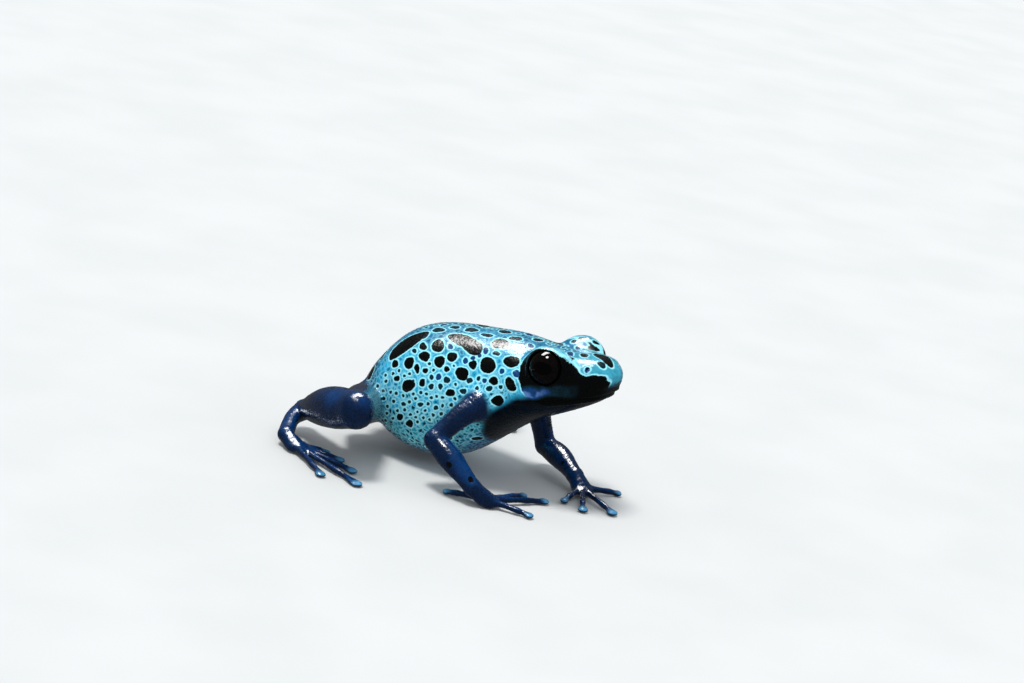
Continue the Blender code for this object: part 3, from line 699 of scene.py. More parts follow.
def surface_of(field):
    """Points and four-sided faces of the surface where a field is zero."""
    values = field.values
    inside = values < 0
    size = np.array(values.shape) - 1
    filled = np.zeros(size, np.uint8)
    for i, j, k in CORNERS:
        filled += inside[i : size[0] + i, j : size[1] + j, k : size[2] + k]
    cells = np.argwhere((filled > 0) & (filled < 8))
    read = [values[cells[:, 0] + i, cells[:, 1] + j, cells[:, 2] + k] for i, j, k in CORNERS]
    total = np.zeros((len(cells), 3))
    hits = np.zeros(len(cells))
    for a, b in CELL_EDGES:
        crossed = (read[a] < 0) != (read[b] < 0)
        t = np.where(crossed, read[a] / np.where(crossed, read[a] - read[b], 1), 0)
        start, step = np.array(CORNERS[a], float), np.array(CORNERS[b], float) - CORNERS[a]
        total += crossed[:, None] * (start + t[:, None] * step)
        hits += crossed
    points = LOW + CELL * (field.first + cells + total / hits[:, None])
    number = np.full(size, -1, np.int32)
    number[tuple(cells.T)] = np.arange(len(cells))
    faces = []
    for axis in range(3):
        u, v = (axis + 1) % 3, (axis + 2) % 3
        low, high = [slice(None)] * 3, [slice(None)] * 3
        low[axis], high[axis] = slice(0, -1), slice(1, None)
        edges = np.argwhere(inside[tuple(low)] != inside[tuple(high)])
        kept = (edges[:, u] > 0) & (edges[:, v] > 0) & (edges[:, u] < size[u]) & (edges[:, v] < size[v])
        edges = edges[kept]
        outward = inside[tuple(edges.T)]
        quad = []
        for du, dv in ((-1, -1), (0, -1), (0, 0), (-1, 0)):
            cell = edges.copy()
            cell[:, u] += du
            cell[:, v] += dv
            quad.append(number[tuple(cell.T)])
        quad = np.stack(quad, axis=1)
        faces.append(np.where(outward[:, None], quad, quad[:, ::-1]))
    return points, np.vstack(faces)


# Shares of a round that evens out the surface: towards its neighbours, then back
EVEN_SHARES = (0.52, -0.54)
EVEN_ROUNDS = 4


def face_edges(faces):
    """Each edge of the faces once, as pairs of points."""
    pairs = np.vstack([faces[:, [k, (k + 1) % 4]] for k in range(4)])
    pairs.sort(axis=1)
    return np.unique(pairs, axis=0)


def even_out(points, faces):
    """Takes the grid's small steps out of a surface without shrinking it."""
    edges = face_edges(faces)
    count = np.bincount(edges.ravel(), minlength=len(points))[:, None]
    for k in range(2 * EVEN_ROUNDS):
        share = EVEN_SHARES[k % 2]
        total = np.stack([
            np.bincount(edges[:, 0], points[edges[:, 1], axis], len(points))
            + np.bincount(edges[:, 1], points[edges[:, 0], axis], len(points))
            for axis in range(3)
        ], axis=1)
        points = points + share * (total / count - points)
    return points


def point_normals(points, faces):
    """The outward direction at each point."""
    across = np.cross(points[faces[:, 2]] - points[faces[:, 0]], points[faces[:, 3]] - points[faces[:, 1]])
    total = np.stack([
        sum(np.bincount(faces[:, k], across[:, axis], len(points)) for k in range(4)) for axis in range(3)
    ], axis=1)
    return total / np.maximum(np.linalg.norm(total, axis=1), 1e-12)[:, None]


def largest_part(points, faces):
    """Keeps only the largest connected surface."""
    label = np.arange(len(points))
    edges = face_edges(faces)
    while True:
        low = np.minimum(label[edges[:, 0]], label[edges[:, 1]])
        new = label.copy()
        np.minimum.at(new, edges[:, 0], low)
        np.minimum.at(new, edges[:, 1], low)
        new = new[new]
        if np.array_equal(new, label):
            break
        label = new
    kept = label == np.bincount(label).argmax()
    number = np.cumsum(kept) - 1
    return points[kept], number[faces[kept[faces[:, 0]]]]


def mesh_object(name, points, faces):
    """A smooth-shaded mesh from points in mm in the floor's frame and faces with one count of sides."""
    mesh = bpy.data.meshes.new(name)
    mesh.vertices.add(len(points))
    mesh.vertices.foreach_set("co", to_row(points).astype(np.float32).ravel())
    mesh.loops.add(faces.size)
    mesh.loops.foreach_set("vertex_index", faces.astype(np.int32).ravel())
    mesh.polygons.add(len(faces))
    mesh.polygons.foreach_set("loop_start", np.arange(0, faces.size, faces.shape[1], dtype=np.int32))
    mesh.update(calc_edges=True)
    mesh.shade_smooth()
    return add_object(name, mesh)


def frog_surface():
    """The whole frog as one surface, with the fields of its body and its legs for the colours."""
    body = body_field()
    for side in (RIGHT, LEFT):
        add_lids(body, side)
        add_nostril(body, side)
        add_eardrum(body, side)
    add_mouth(body)
    whole = Field(LOW, HIGH)
    whole.merge(body, 0.01)
    legs = []
    for side, word in ((RIGHT, "right"), (LEFT, "left")):
        arm = ARM_JOINTS[word], FINGER_TIPS[word], ARM_LENGTHS, ELBOW_BLEND, HAND, SHOULDER_BLEND
        leg = LEG_JOINTS, TOE_TIPS, LEG_LENGTHS, KNEE_BLEND, FOOT, HIP_BLEND
        for limbs in (arm, leg):
            field, blend = leg_field(side, *limbs)
            whole.merge(field, blend)
            legs.append(field)
    floor = (AXES[2] - SOLE_HEIGHT).astype(np.float32)[None, None, :]
    under = int(SOLE_REACH / CELL)
    whole.values[:, :, :under] = -smooth_min(-whole.values[:, :, :under], floor[:, :, :under], SOLE_BLEND)
    whole.values += HELD_INSIDE
    points, faces = surface_of(whole)
    points = even_out(points, faces)
    points, faces = largest_part(points, faces)
    return points, faces, body, legs


# Noise

NOISE_SIZE = 64
NOISE = np.random.default_rng(SEED).random((NOISE_SIZE, NOISE_SIZE, NOISE_SIZE, 3))


def soft_noise(points, cell):
    """Smooth noise from 0 to 1, with lumps of about a cell's size."""
    at = points / cell
    cells = np.floor(at).astype(int)
    fractions = smooth_step(at - cells, 0, 1)
    return between_corners(fractions, lambda corner: NOISE[tuple(((cells + corner) % NOISE_SIZE).T)][:, 0])


def pebbles(points, cell):
    """1 in the middle of each pebble, and 0 between pebbles of about a cell's size."""
    at = points / cell
    first = np.floor(at).astype(int)
    nearest = np.full(len(points), FAR)
    for step in np.ndindex(3, 3, 3):
        cells = first + step - 1
        seeds = cells + NOISE[tuple((cells % NOISE_SIZE).T)]
        nearest = np.minimum(nearest, ((at - seeds) ** 2).sum(axis=1))
    return 1 - smooth_step(np.sqrt(nearest), 0.15, 0.8)


# Markings

BLACK, TEAL, BLUE, LIP = 0.0, 0.5, 1.0, 1.5

# Spots read from the photo: pixel across and down, half-width and half-height in pixels, turn, tone
PHOTO_SPOTS = (
    (406.5, 343.5, 23, 5.6, 34, BLACK), (464.5, 341, 16.5, 6.6, -20, BLACK),
    (473, 346.8, 10.5, 7.4, -8, BLACK), (437.9, 345.6, 6.4, 6.4, 0, BLACK),
    (422.9, 346.3, 3.8, 3.8, 0, BLACK), (424.3, 356.3, 5.2, 5.5, 0, BLACK),
    (439.3, 361.3, 5.2, 6.2, 0, BLACK), (452.1, 356.6, 5.2, 4.8, 0, BLACK),
    (409, 362.7, 4.6, 6.6, -15, BLACK), (416.9, 368.4, 2.8, 4.6, 0, BLACK), (425.3, 370.6, 3, 2.9, 0, BLACK),
    (446.7, 368.9, 3, 3, 0, BLACK), (461.7, 373.7, 6.9, 6.6, 0, BLACK), (487.6, 365.1, 8.2, 8, 0, BLACK),
    (472.9, 364.9, 3.8, 4.8, 0, BLACK), (472.6, 357.7, 2.7, 2, 0, BLUE), (465.4, 360.6, 2.5, 3, 0, BLUE),
    (408.1, 385.6, 7.2, 5.8, 28, BLACK), (395, 363.7, 3.4, 4, 0, BLACK), (396.7, 378.4, 3, 2.9, 0, BLACK),
    (422.1, 382.7, 3.1, 4.2, 0, BLACK), (431.4, 377.3, 2.3, 3, 0, TEAL), (438.6, 376.7, 3.1, 3.3, 0, BLUE),
    (446.7, 379.9, 3.3, 3.3, 0, TEAL), (431, 386.6, 2.8, 2.8, 0, TEAL), (440.3, 386.6, 2.6, 3, 0, TEAL),
    (469.3, 380.6, 3.1, 2.8, 30, TEAL), (493.6, 380.9, 4.6, 4.3, 0, BLACK),
    (510.2, 383.8, 4.8, 5.8, 25, BLACK), (450.3, 392.7, 4.8, 4.1, 10, BLACK),
    (463.6, 391.3, 3.4, 2.8, 0, TEAL), (497.9, 400.6, 6, 5.2, 0, BLACK), (399.7, 417, 3.4, 3.3, 0, BLACK),
    (409.3, 423.7, 3.6, 3.8, 0, BLACK), (403.3, 403.9, 2.3, 2, 0, TEAL), (420.3, 404.6, 3.2, 2.4, 15, TEAL),
    (435.7, 408, 2.7, 2.5, 0, TEAL), (451, 405.1, 2.2, 2.2, 0, TEAL), (432.9, 415.1, 1.7, 2, 0, TEAL),
    (441, 413.7, 1.9, 1.6, 0, TEAL), (500.7, 343.4, 9.6, 5.2, -8, BLACK), (511.4, 361.3, 8.4, 5.6, 5, BLACK),
    (438.6, 329.6, 6.2, 2.4, 0, TEAL), (471.4, 329.6, 7.2, 2, -3, TEAL), (487.5, 335, 6.5, 1.8, -8, TEAL),
    (515.8, 338.3, 7, 2.2, -5, TEAL), (530.5, 345.5, 3.2, 2.2, -20, BLUE), (450.2, 346.2, 2.6, 3, 30, BLUE),
    (414.3, 350.6, 2.4, 2.4, 0, TEAL), (485.7, 350.6, 2.8, 3.4, 0, BLUE), (479.3, 355.6, 1.9, 2.1, 0, BLUE),
    (496.4, 353.4, 3.8, 2.4, -10, TEAL), (516.3, 373.1, 3.8, 3.6, 0, BLUE), (502.1, 370.9, 2.8, 2.8, 0, BLUE),
    (484.3, 380.6, 2.3, 2.3, 0, BLUE), (478.6, 378.5, 1.9, 2.6, 0, TEAL), (489.3, 388.4, 3.2, 2.5, 0, TEAL),
    (500.7, 386.8, 2.2, 2, 0, TEAL), (477, 388, 1.9, 1.9, 0, TEAL), (604.2, 357.6, 10.8, 3.1, -24, BLACK),
    (593.1, 348.5, 6, 2.3, -12, BLACK), (584.4, 354.8, 4, 2.3, -12, BLACK),
    (601.5, 364.3, 5.2, 2.7, -38, TEAL), (570, 353.6, 3.6, 4.8, 25, BLUE), (578, 348.5, 3.6, 1.8, -25, BLUE),
    (563.5, 347.5, 2, 1.6, -25, BLUE), (449, 465, 3, 3, 0, BLACK), (471, 479.5, 3, 3, 0, BLACK),
    (583, 338.5, 4.5, 1.8, -5, BLACK), (596, 342.5, 3.6, 1.8, -25, BLACK), (574, 341.5, 3, 1.6, 20, TEAL),
    (455, 327, 5, 1.5, -3, TEAL), (505, 331.5, 6, 1.8, -6, TEAL), (538, 339.5, 5, 1.6, -6, TEAL),
    (423, 336, 4.5, 2.6, 20, TEAL),
)

# Small dark dots of the lower flank, by the pixels of their middles and of their radius
PHOTO_DOTS = (
    (385.4, 374.9), (385.7, 381.3), (377.4, 385.9), (382.9, 391.0), (390.4, 392.0), (392.9, 373.4),
    (398.9, 370.6), (404.3, 375.6), (409.3, 373.7), (396.1, 393.4), (393.6, 401.3), (412.9, 394.1),
    (420.7, 392.4), (426.4, 394.1), (431.0, 397.7), (436.4, 396.3), (442.4, 397.7), (442.4, 405.6),
    (425.0, 410.6), (417.1, 412.0), (410.0, 414.6), (415.4, 417.4), (423.3, 417.7), (387.1, 406.3),
    (386.7, 413.4), (385.4, 420.6), (383.6, 398.4), (392.9, 418.4), (397.1, 410.6), (409.3, 402.0),
    (429.6, 419.9), (417.1, 422.0), (429.3, 363.6), (453.6, 366.0), (403.0, 395.5), (428.0, 404.0),
    (413.0, 381.0), (455.5, 384.5), (415.5, 398.5), (404.5, 410.0), (433.5, 370.0), (455.0, 398.5),
)
DOT_RADIUS = 1.65

# The black mask of the face and its neighbours, from the side, in x and z of the body's own frame
EYE_MASK = (15.8, 6.15, 2.95, 2.3)
MASK_DEPTH = 0.8
MASK_BLEND = 0.4
MASK_START = 11
LORE = (
    (14.5, 7.6), (18.1, 7.5), (19.2, 6.5), (19.9, 5.7), (20.6, 5.4), (21.4, 5.6), (22.35, 5.35), (22.6, 4.6),
    (22.6, 2.0), (19.5, 1.6), (17.5, 1.6), (15.5, 2.0), (14.2, 2.6), (13.5, 3.4), (12.95, 4.8), (12.85, 6.2),
)
CANTHUS = (16.0, 3.3, -0.28)
LIP_BAND = (0.3, 0.9, 1.3, 2.2)
LIP_FADE = (14.5, 20.0)
# The throat and lower jaw, from the side, where their dark blue is painted near black as shade
SHADED_THROAT = (
    (24.0, 4.6), (22.6, 4.2), (20.0, 3.6), (16.0, 3.1), (12.6, 2.9), (11.2, 2.1), (9.4, 0.9),
    (8.2, -0.3), (7.2, -2.5), (6.2, -7.5), (24.0, -7.5),
)

# The dark rump: its edge in x, a slanting edge as x, share, z, share, and where its outlines end
RUMP_START = -6.3
RUMP_SLANT = (-5.6, 0.8, 1.5, 0.35)
RUMP_BARE = (7.6, 9.6)

# Spots of the hidden sides: where, radius in mm, tone, tries and the least gap in mm
HIDDEN_SPOTS = (
    ("back", 1.5, BLACK, 14, 0.45), ("back", 1.05, BLACK, 60, 0.35), ("flank", 0.82, BLACK, 120, 0.32),
    ("crown", 0.55, BLACK, 14, 0.5), ("flank", 0.6, BLACK, 160, 0.3), ("back", 0.5, BLUE, 120, 0.25),
    ("side", 0.42, BLACK, 260, 0.27), ("crown", 0.3, BLUE, 30, 0.4), ("side", 0.3, TEAL, 500, 0.24),
    ("back", 0.28, BLUE, 200, 0.22), ("side", 0.21, TEAL, 1500, 0.2), ("belly", 0.5, BLACK, 14, 1.2),
    ("belly", 0.28, TEAL, 90, 0.7), ("leg", 0.4, BLACK, 60, 1.5), ("leg", 0.26, BLACK, 60, 1.2),
)
SPOT_SIZES = (0.8, 1.2)
SPOT_STRETCH = (1.0, 1.35)
STRETCH_MOST = 1.7
CLEAR = 3.0


def outline_distance(x, z, outline):
    """Distance in mm from a closed outline in the plane, below zero inside it."""
    nearest = np.full(len(x), FAR)
    inside = np.zeros(len(x), bool)
    for (ax, az), (bx, bz) in zip(outline, outline[1:] + outline[:1]):
        ex, ez = bx - ax, bz - az
        t = np.clip(((x - ax) * ex + (z - az) * ez) / (ex * ex + ez * ez), 0, 1)
        nearest = np.minimum(nearest, np.hypot(x - ax - t * ex, z - az - t * ez))
        if az != bz:
            inside ^= ((az > z) != (bz > z)) & (x < ax + (bx - ax) * (z - az) / (bz - az))
    return np.where(inside, -nearest, nearest)


def mask_distance(body):
    """Distance in mm from the edge of the black mask, at points in the body's own frame."""
    x, y, z = body[:, 0], np.abs(body[:, 1]), body[:, 2]
    depth = (body * (1, 0, 1) + y[:, None] * (0, 1, 0) - EYE) @ unit(EYE_FACING)
    cx, cz, rx, rz = EYE_MASK
    level = np.hypot((x - cx) / rx, (z - cz) / rz) + 1e-6
    slope = np.hypot((x - cx) / rx**2, (z - cz) / rz**2) / level
    around_eye = np.maximum((level - 1) / np.maximum(slope, 0.3), -MASK_DEPTH - depth)
    start, width, slant = CANTHUS
    lore = np.maximum(outline_distance(x, z, LORE), width + slant * (x - start) - y)
    return smooth_min(around_eye, lore, MASK_BLEND)


def lip_share(points, body):
    """How blue the upper lip is inside the mask: soft, and fading towards the snout."""
    above = body[:, 2] - mouth_height(np.clip(body[:, 0], MOUTH_CORNER[0], SNOUT_X))
    above = above + 0.6 * (soft_noise(points, 1.1) - 0.5)
    band = smooth_step(above, *LIP_BAND[:2]) * (1 - smooth_step(above, *LIP_BAND[2:]))
    ahead = 1 - smooth_step(body[:, 0] + 2.0 * (soft_noise(points, 1.6) - 0.5), *LIP_FADE)
    return np.clip(LIP * band * ahead * (0.55 + 0.8 * soft_noise(points, 0.45)), 0, LIP)


def spot(centre, normal, first, radii, tone):
    """A spot on the skin: its middle, its axes as rows (normal, first, second), radii in mm and tone."""
    first = unit(first - normal * (first @ normal))
    return np.asarray(centre), np.stack([normal, first, np.cross(normal, first)]), np.asarray(radii), tone


def photo_spots(skin):
    """The spots that the photo shows, cast from its camera on to the skin."""
    rows = list(PHOTO_SPOTS) + [(x, y, DOT_RADIUS, DOT_RADIUS, 0, TEAL) for x, y in PHOTO_DOTS]
    spots = []
    start = Vector(to_row(CAMERA))
    for px, py, wide, high, turn, tone in rows:
        ray = pixel_ray(px, py)
        hit, place, normal, _ = skin.ray_cast(start, Vector(ray))
        if not hit:
            continue
        place = np.array(place) / MM - SHIFT
        normal = np.array(normal)
        size = (place - CAMERA) @ -CAMERA_BACK / FOCAL
        c, s = math.cos(math.radians(turn)), math.sin(math.radians(turn))
        axes = (CAMERA_RIGHT * c + CAMERA_UP * s) * wide, (CAMERA_UP * c - CAMERA_RIGHT * s) * high
        flat = np.stack([axis - ray * (axis @ normal) / (ray @ normal) for axis in axes], axis=1) * size
        turned, radii, _ = np.linalg.svd(flat, full_matrices=False)
        most = STRETCH_MOST * size * math.sqrt(wide * high) * max(1, math.sqrt(wide / high))
        spots.append(spot(place, normal, turned[:, 0], np.minimum(radii, most), tone))
    return spots


def nostril_spots():
    """The dark openings of the nostrils."""
    upright = np.array((0.0, 0.0, 1.0))
    return [spot(*nostril_place(side), upright, NOSTRIL_SPOT, BLUE) for side in (RIGHT, LEFT)]


def back_share(body):
    """How high points lie in the body: 0 at its underside, 1 along its back."""
    top, bottom = section(np.clip(body[:, 0], VENT_X, SNOUT_X))[:2]
    return (body[:, 2] - bottom) / (top - bottom)


def scatter(points, normals, body, on_leg, mask, taken, rng):
    """More spots, drawn at random, where the photo doesn't show the skin."""
    x, y, z = body.T
    height = back_share(body)
    seen = (normals @ unit(CAMERA - points.mean(axis=0)) > 0.3) & (y < 1.5)
    trunk = (on_leg < 0.3) & (mask > 0.5)
    shaded_throat = outline_distance(x, z, SHADED_THROAT)
    where = {
        "crown": trunk & (x > 12) & (height > 0.8) & ~seen,
        "back": trunk & (x <= 12) & (height > 0.78) & ~seen,
        "flank": trunk & (x <= 12) & (height > 0.4) & ~seen & (shaded_throat > 0.6),
        "side": trunk & (height > 0.18) & ~seen & (shaded_throat > 0.6),
        "belly": trunk & (height <= 0.18) & (shaded_throat > 0.6),
        "leg": (on_leg > 0.9) & (points[:, 2] > 2.0) & ~seen,
    }
    centres = [centre for centre, _, _, _ in taken]
    sizes = [max(radii) for _, _, radii, _ in taken]
    spots = list(taken)
    for region, radius, tone, tries, gap in HIDDEN_SPOTS:
        rows = np.flatnonzero(where[region])
        for row in rng.choice(rows, tries):
            size = radius * rng.uniform(*SPOT_SIZES)
            stretch = rng.uniform(*SPOT_STRETCH)
            turn = rng.normal(size=3)
            far = np.linalg.norm(np.array(centres) - points[row], axis=1)
            if (far < np.array(sizes) + size * stretch + gap).any() or mask[row] < size + gap:
                continue
            centres.append(points[row])
            sizes.append(size * stretch)
            spots.append(spot(points[row], normals[row], turn, (size * stretch, size / stretch), tone))
    return spots


def spot_distance(points, spots, rng):
    """Distance in mm from the edge of the nearest spot, below zero inside it, and that spot's tone."""
    order = np.argsort(points[:, 0])
    along = points[order, 0]
    distance, tones = np.full(len(points), CLEAR), np.zeros(len(points))
    for centre, axes, radii, tone in spots:
        lumps = rng.uniform(0, 2 * math.pi, 2)
        reach = radii.max() + 1.5
        first, last = np.searchsorted(along, (centre[0] - reach, centre[0] + reach))
        rows = order[first:last]
        local = (points[rows] - centre) @ axes.T
        near = (np.abs(local[:, 0]) < 0.8 + radii.max() * 0.5) & (np.abs(local[:, 1:]).max(axis=1) < reach)
        rows, local = rows[near], local[near, 1:]
        angle = np.arctan2(local[:, 1] / radii[1], local[:, 0] / radii[0])
        edge = 1 + 0.05 * np.cos(2 * angle + lumps[0]) + 0.05 * np.cos(3 * angle + lumps[1])
        level = np.hypot(*(local / radii).T) + 1e-6
        slope = np.hypot(*(local / radii**2).T) / level
        away = (level - edge) / np.maximum(slope, 0.2)
        closer = away < distance[rows]
        distance[rows[closer]] = away[closer]
        tones[rows[closer]] = tone
    return distance, tones


def srgb(red, green, blue):
    """A colour given from 0 to 255, as the shader counts it."""
    value = np.array((red, green, blue)) / 255
    return np.where(value <= 0.04045, value / 12.92, ((value + 0.055) / 1.055) ** 2.4)


# Colours
SKY = srgb(34, 164, 208)
BACK_BLUE = srgb(14, 98, 144)
LOW_BLUE = srgb(44, 160, 180)
BELLY_BLUE = srgb(16, 90, 140)
RUMP_BLUE = srgb(2, 40, 92)
SNOUT_BLUE = srgb(62, 164, 190)
# Painted shade: the throat and lower jaw, their dark blue deepened to near black
THROAT_SHADE_BLUE = srgb(2, 12, 22)
LEG_BLUE = srgb(1, 26, 58)
# Painted light: a lighter blue on the legs' upper sides
LEG_LIT_TOP_BLUE = srgb(3, 52, 104)
# The discs' paler blue on their upper sides: partly their own colour, partly painted highlight
DISC_HIGHLIGHT_BLUE = srgb(78, 146, 190)
PALE_BLUE = srgb(152, 232, 246)
BLACK_SKIN = srgb(1, 3, 3)
TEAL_SKIN = srgb(3, 38, 50)
BLUE_SKIN = srgb(8, 58, 112)
LIP_BLUE = srgb(84, 122, 182)
PUPIL, IRIS, BRONZE = srgb(0, 0, 0), srgb(5, 4, 4), srgb(26, 17, 10)
CARD_DARK, CARD_PALE = srgb(206, 208, 208), srgb(211, 212, 212)

# The skin's relief in mm: depths of its granules, how much they grow, and its soft unevenness
HEAD_START = 13
GRAIN_BACK, GRAIN_BELLY, GRAIN_HEAD, GRAIN_LEG = 0.012, 0.026, 0.008, 0.014
GRAIN_DEPTH = 1.6
UNEVEN = 0.045

# Sizes of pebbles and of swells in mm, with their shares and a shift that tells them apart
PEBBLES = ((0.46, 0.65, 0.0), (0.27, 0.35, 5.0))
SWELLS = ((1.7, 0.5, 0.0), (0.8, 0.25, 9.0))

# How far from the eye's middle the lids are smooth, and how far from a disc's middle its pale colour, partly
# painted highlight, reaches
LID_SMOOTH = (2.6, 3.4)
DISC_FADE = (0.7, 1.5)

# Height of the shader's bumps, in metres
BUMP_STEP = 0.00002


def blend_colours(base, colour, share):
    """Moves colours towards another by a share at each point."""
    return base + (colour - base) * np.clip(share, 0, 1)[:, None]


def read_near(field, points):
    """A field's values at points in its box, and a far distance beyond it."""
    values = np.full(len(points), FAR)
    within = ((points > LOW + field.first * CELL) & (points < LOW + field.last * CELL)).all(axis=1)
    values[within] = field.read(points[within])
    return values


def on_legs(points, body, legs):
    """How far each point belongs to a leg: 0 on the body, 1 on a leg."""
    near = np.min([read_near(leg, points) for leg in legs], axis=0)
    return smooth_step(read_near(body, points) - near, -0.5, 0.7)


def paint(points, normals, body, on_leg, discs):
    """The smooth colour of the skin at each point, before its spots, with painted shade on the throat and
    lower jaw and painted light on the legs' upper sides and discs.
    """
    x, z = body[:, 0], body[:, 2]
    height = back_share(body)
    patches = soft_noise(points, 3.1) - 0.5
    start, behind, level, below = RUMP_SLANT
    rump = np.maximum(RUMP_START - x, behind * (start - x) + below * (level - z))
    shaded_throat = -outline_distance(x, z, SHADED_THROAT)
    layers = (
        (BACK_BLUE, height + patches * 0.3, 0.72, 1.0, 0.8),
        (LOW_BLUE, -height + patches * 0.2, -0.42, -0.12, 1),
        (BELLY_BLUE, -height + patches * 0.1, -0.2, -0.04, 1),
        (RUMP_BLUE, rump + patches, 0.0, 1.8, 1),
        (SNOUT_BLUE, x + patches, 15.5, 20.0, 1),
        # Painted shade: the throat and lower jaw darkened to near black
        (THROAT_SHADE_BLUE, shaded_throat + patches * 0.8, -0.35, 0.6, 1),
    )
    colour = np.tile(SKY, (len(points), 1))
    for layer, place, start, end, most in layers:
        colour = blend_colours(colour, layer, smooth_step(place, start, end) * most)
    # Painted light: the legs lighter where they face up
    leg = LEG_BLUE + (LEG_LIT_TOP_BLUE - LEG_BLUE) * smooth_step(normals[:, 2] + patches, 0.1, 1.0)[:, None]
    # Painted highlight, partly the discs' own paler colour: on their upper sides only
    leg = blend_colours(leg, DISC_HIGHLIGHT_BLUE, discs * smooth_step(normals[:, 2], -0.2, 0.6))
    return colour + (leg - colour) * on_leg[:, None]


def disc_share(points):
    """How far each point belongs to the disc of a finger or toe."""
    share = np.zeros(len(points))
    for side, word in ((RIGHT, "right"), (LEFT, "left")):
        for tip in digit_ends(FINGER_TIPS[word] + TOE_TIPS):
            away = np.linalg.norm(points - on_side(tip, side), axis=1)
            share = np.maximum(share, 1 - smooth_step(away, *DISC_FADE))
    return share


def relief(points, body, on_leg, mask, discs):
    """How far the skin is lowered, in mm, by its granules and soft unevenness."""
    trunk = GRAIN_BACK + (GRAIN_BELLY - GRAIN_BACK) * smooth_step(-back_share(body), -0.7, -0.2)
    trunk = np.where(body[:, 0] > HEAD_START, GRAIN_HEAD, trunk)
    coarse = trunk + (GRAIN_LEG - trunk) * on_leg
    coarse = coarse * smooth_step(mask, -0.6, 0.3) * (1 - discs)
    eye = np.linalg.norm(np.abs(body[:, 1:2]) * (0, 1, 0) + body * (1, 0, 1) - np.array(EYE), axis=1)
    coarse = coarse * smooth_step(eye, *LID_SMOOTH)
    large, small = (pebbles(points + shift, size) * share for size, share, shift in PEBBLES)
    grain = 1 - (large + small)
    broad, narrow = (soft_noise(points + shift, size) * share for size, share, shift in SWELLS)
    soft = broad + narrow
    return coarse * grain * GRAIN_DEPTH + UNEVEN * soft * (coarse > 0.002)


# Materials

class Shader:
    """Builds the nodes of a material that ends in one Principled shader."""

    def __init__(self, name):
        self.material = bpy.data.materials.new(name)
        self.material.use_nodes = True
        self.nodes = self.material.node_tree.nodes
        self.links = self.material.node_tree.links
        self.principled = self.nodes["Principled BSDF"]

    def put(self, socket, value):
        """Links a socket to another or sets its value."""
        if isinstance(value, bpy.types.NodeSocket):
            self.links.new(value, socket)
        elif isinstance(value, np.ndarray):
            socket.default_value = (*value, 1)
        else:
            socket.default_value = value

    def fill(self, node, **values):
        """Sets inputs of a node by their names, with underscores for spaces, and gives the node back."""
        for name, value in values.items():
            self.put(node.inputs[name.replace("_", " ")], value)
        return node

    def set(self, **values):
        """Sets inputs of the Principled shader by their names."""
        self.fill(self.principled, **values)

    def node(self, kind, values=(), **settings):
        """A node with its settings, and values for its first inputs."""
        node = self.nodes.new("ShaderNode" + kind)
        for name, value in settings.items():
            setattr(node, name, value)
        for socket, value in zip(node.inputs, values):
            if value is not None:
                self.put(socket, value)
        return node

    def math(self, operation, a, b=0.0):
        """A sum, product or other function of one or two values."""
        return self.node("Math", (a, b), operation=operation).outputs[0]

    def step(self, value, low, high, start=0.0, end=1.0):
        """Rises smoothly from start at low to end at high."""
        values = (value, low, high, start, end)
        return self.node("MapRange", values, interpolation_type="SMOOTHSTEP").outputs[0]

    def vector(self, operation, a, b):
        """Two vectors combined."""
        return self.node("VectorMath", (a, b), operation=operation).outputs[0]

    def mix(self, share, a, b):
        """A colour between a and b."""
        node = self.node("Mix", data_type="RGBA")
        for index, value in ((0, share), (6, a), (7, b)):
            self.put(node.inputs[index], value)
        return node.outputs[2]

    def attribute(self, name, output="Fac"):
        """A value that the mesh holds at its points."""
        return self.node("Attribute", attribute_name=name).outputs[output]

    def places(self):
        """Places on the object in mm."""
        return self.vector("MULTIPLY", self.node("TexCoord").outputs["Object"], (1000, 1000, 1000))

    def noise(self, places, scale, detail=2.0, roughness=0.5, output=0):
        """Soft noise with about scale lumps to a millimetre: a number, or a colour from output 1."""
        node = self.node("TexNoise")
        return self.fill(node, Vector=places, Scale=scale, Detail=detail, Roughness=roughness).outputs[output]

    def cells(self, places, scale, feature="F1"):
        """Rounded cells, about scale of them to a millimetre."""
        return self.fill(self.node("TexVoronoi", feature=feature), Vector=places, Scale=scale)

    def bump(self, strength, height):
        """The surface's direction, bent by a height."""
        return self.fill(self.node("Bump", (strength, BUMP_STEP)), Height=height).outputs[0]


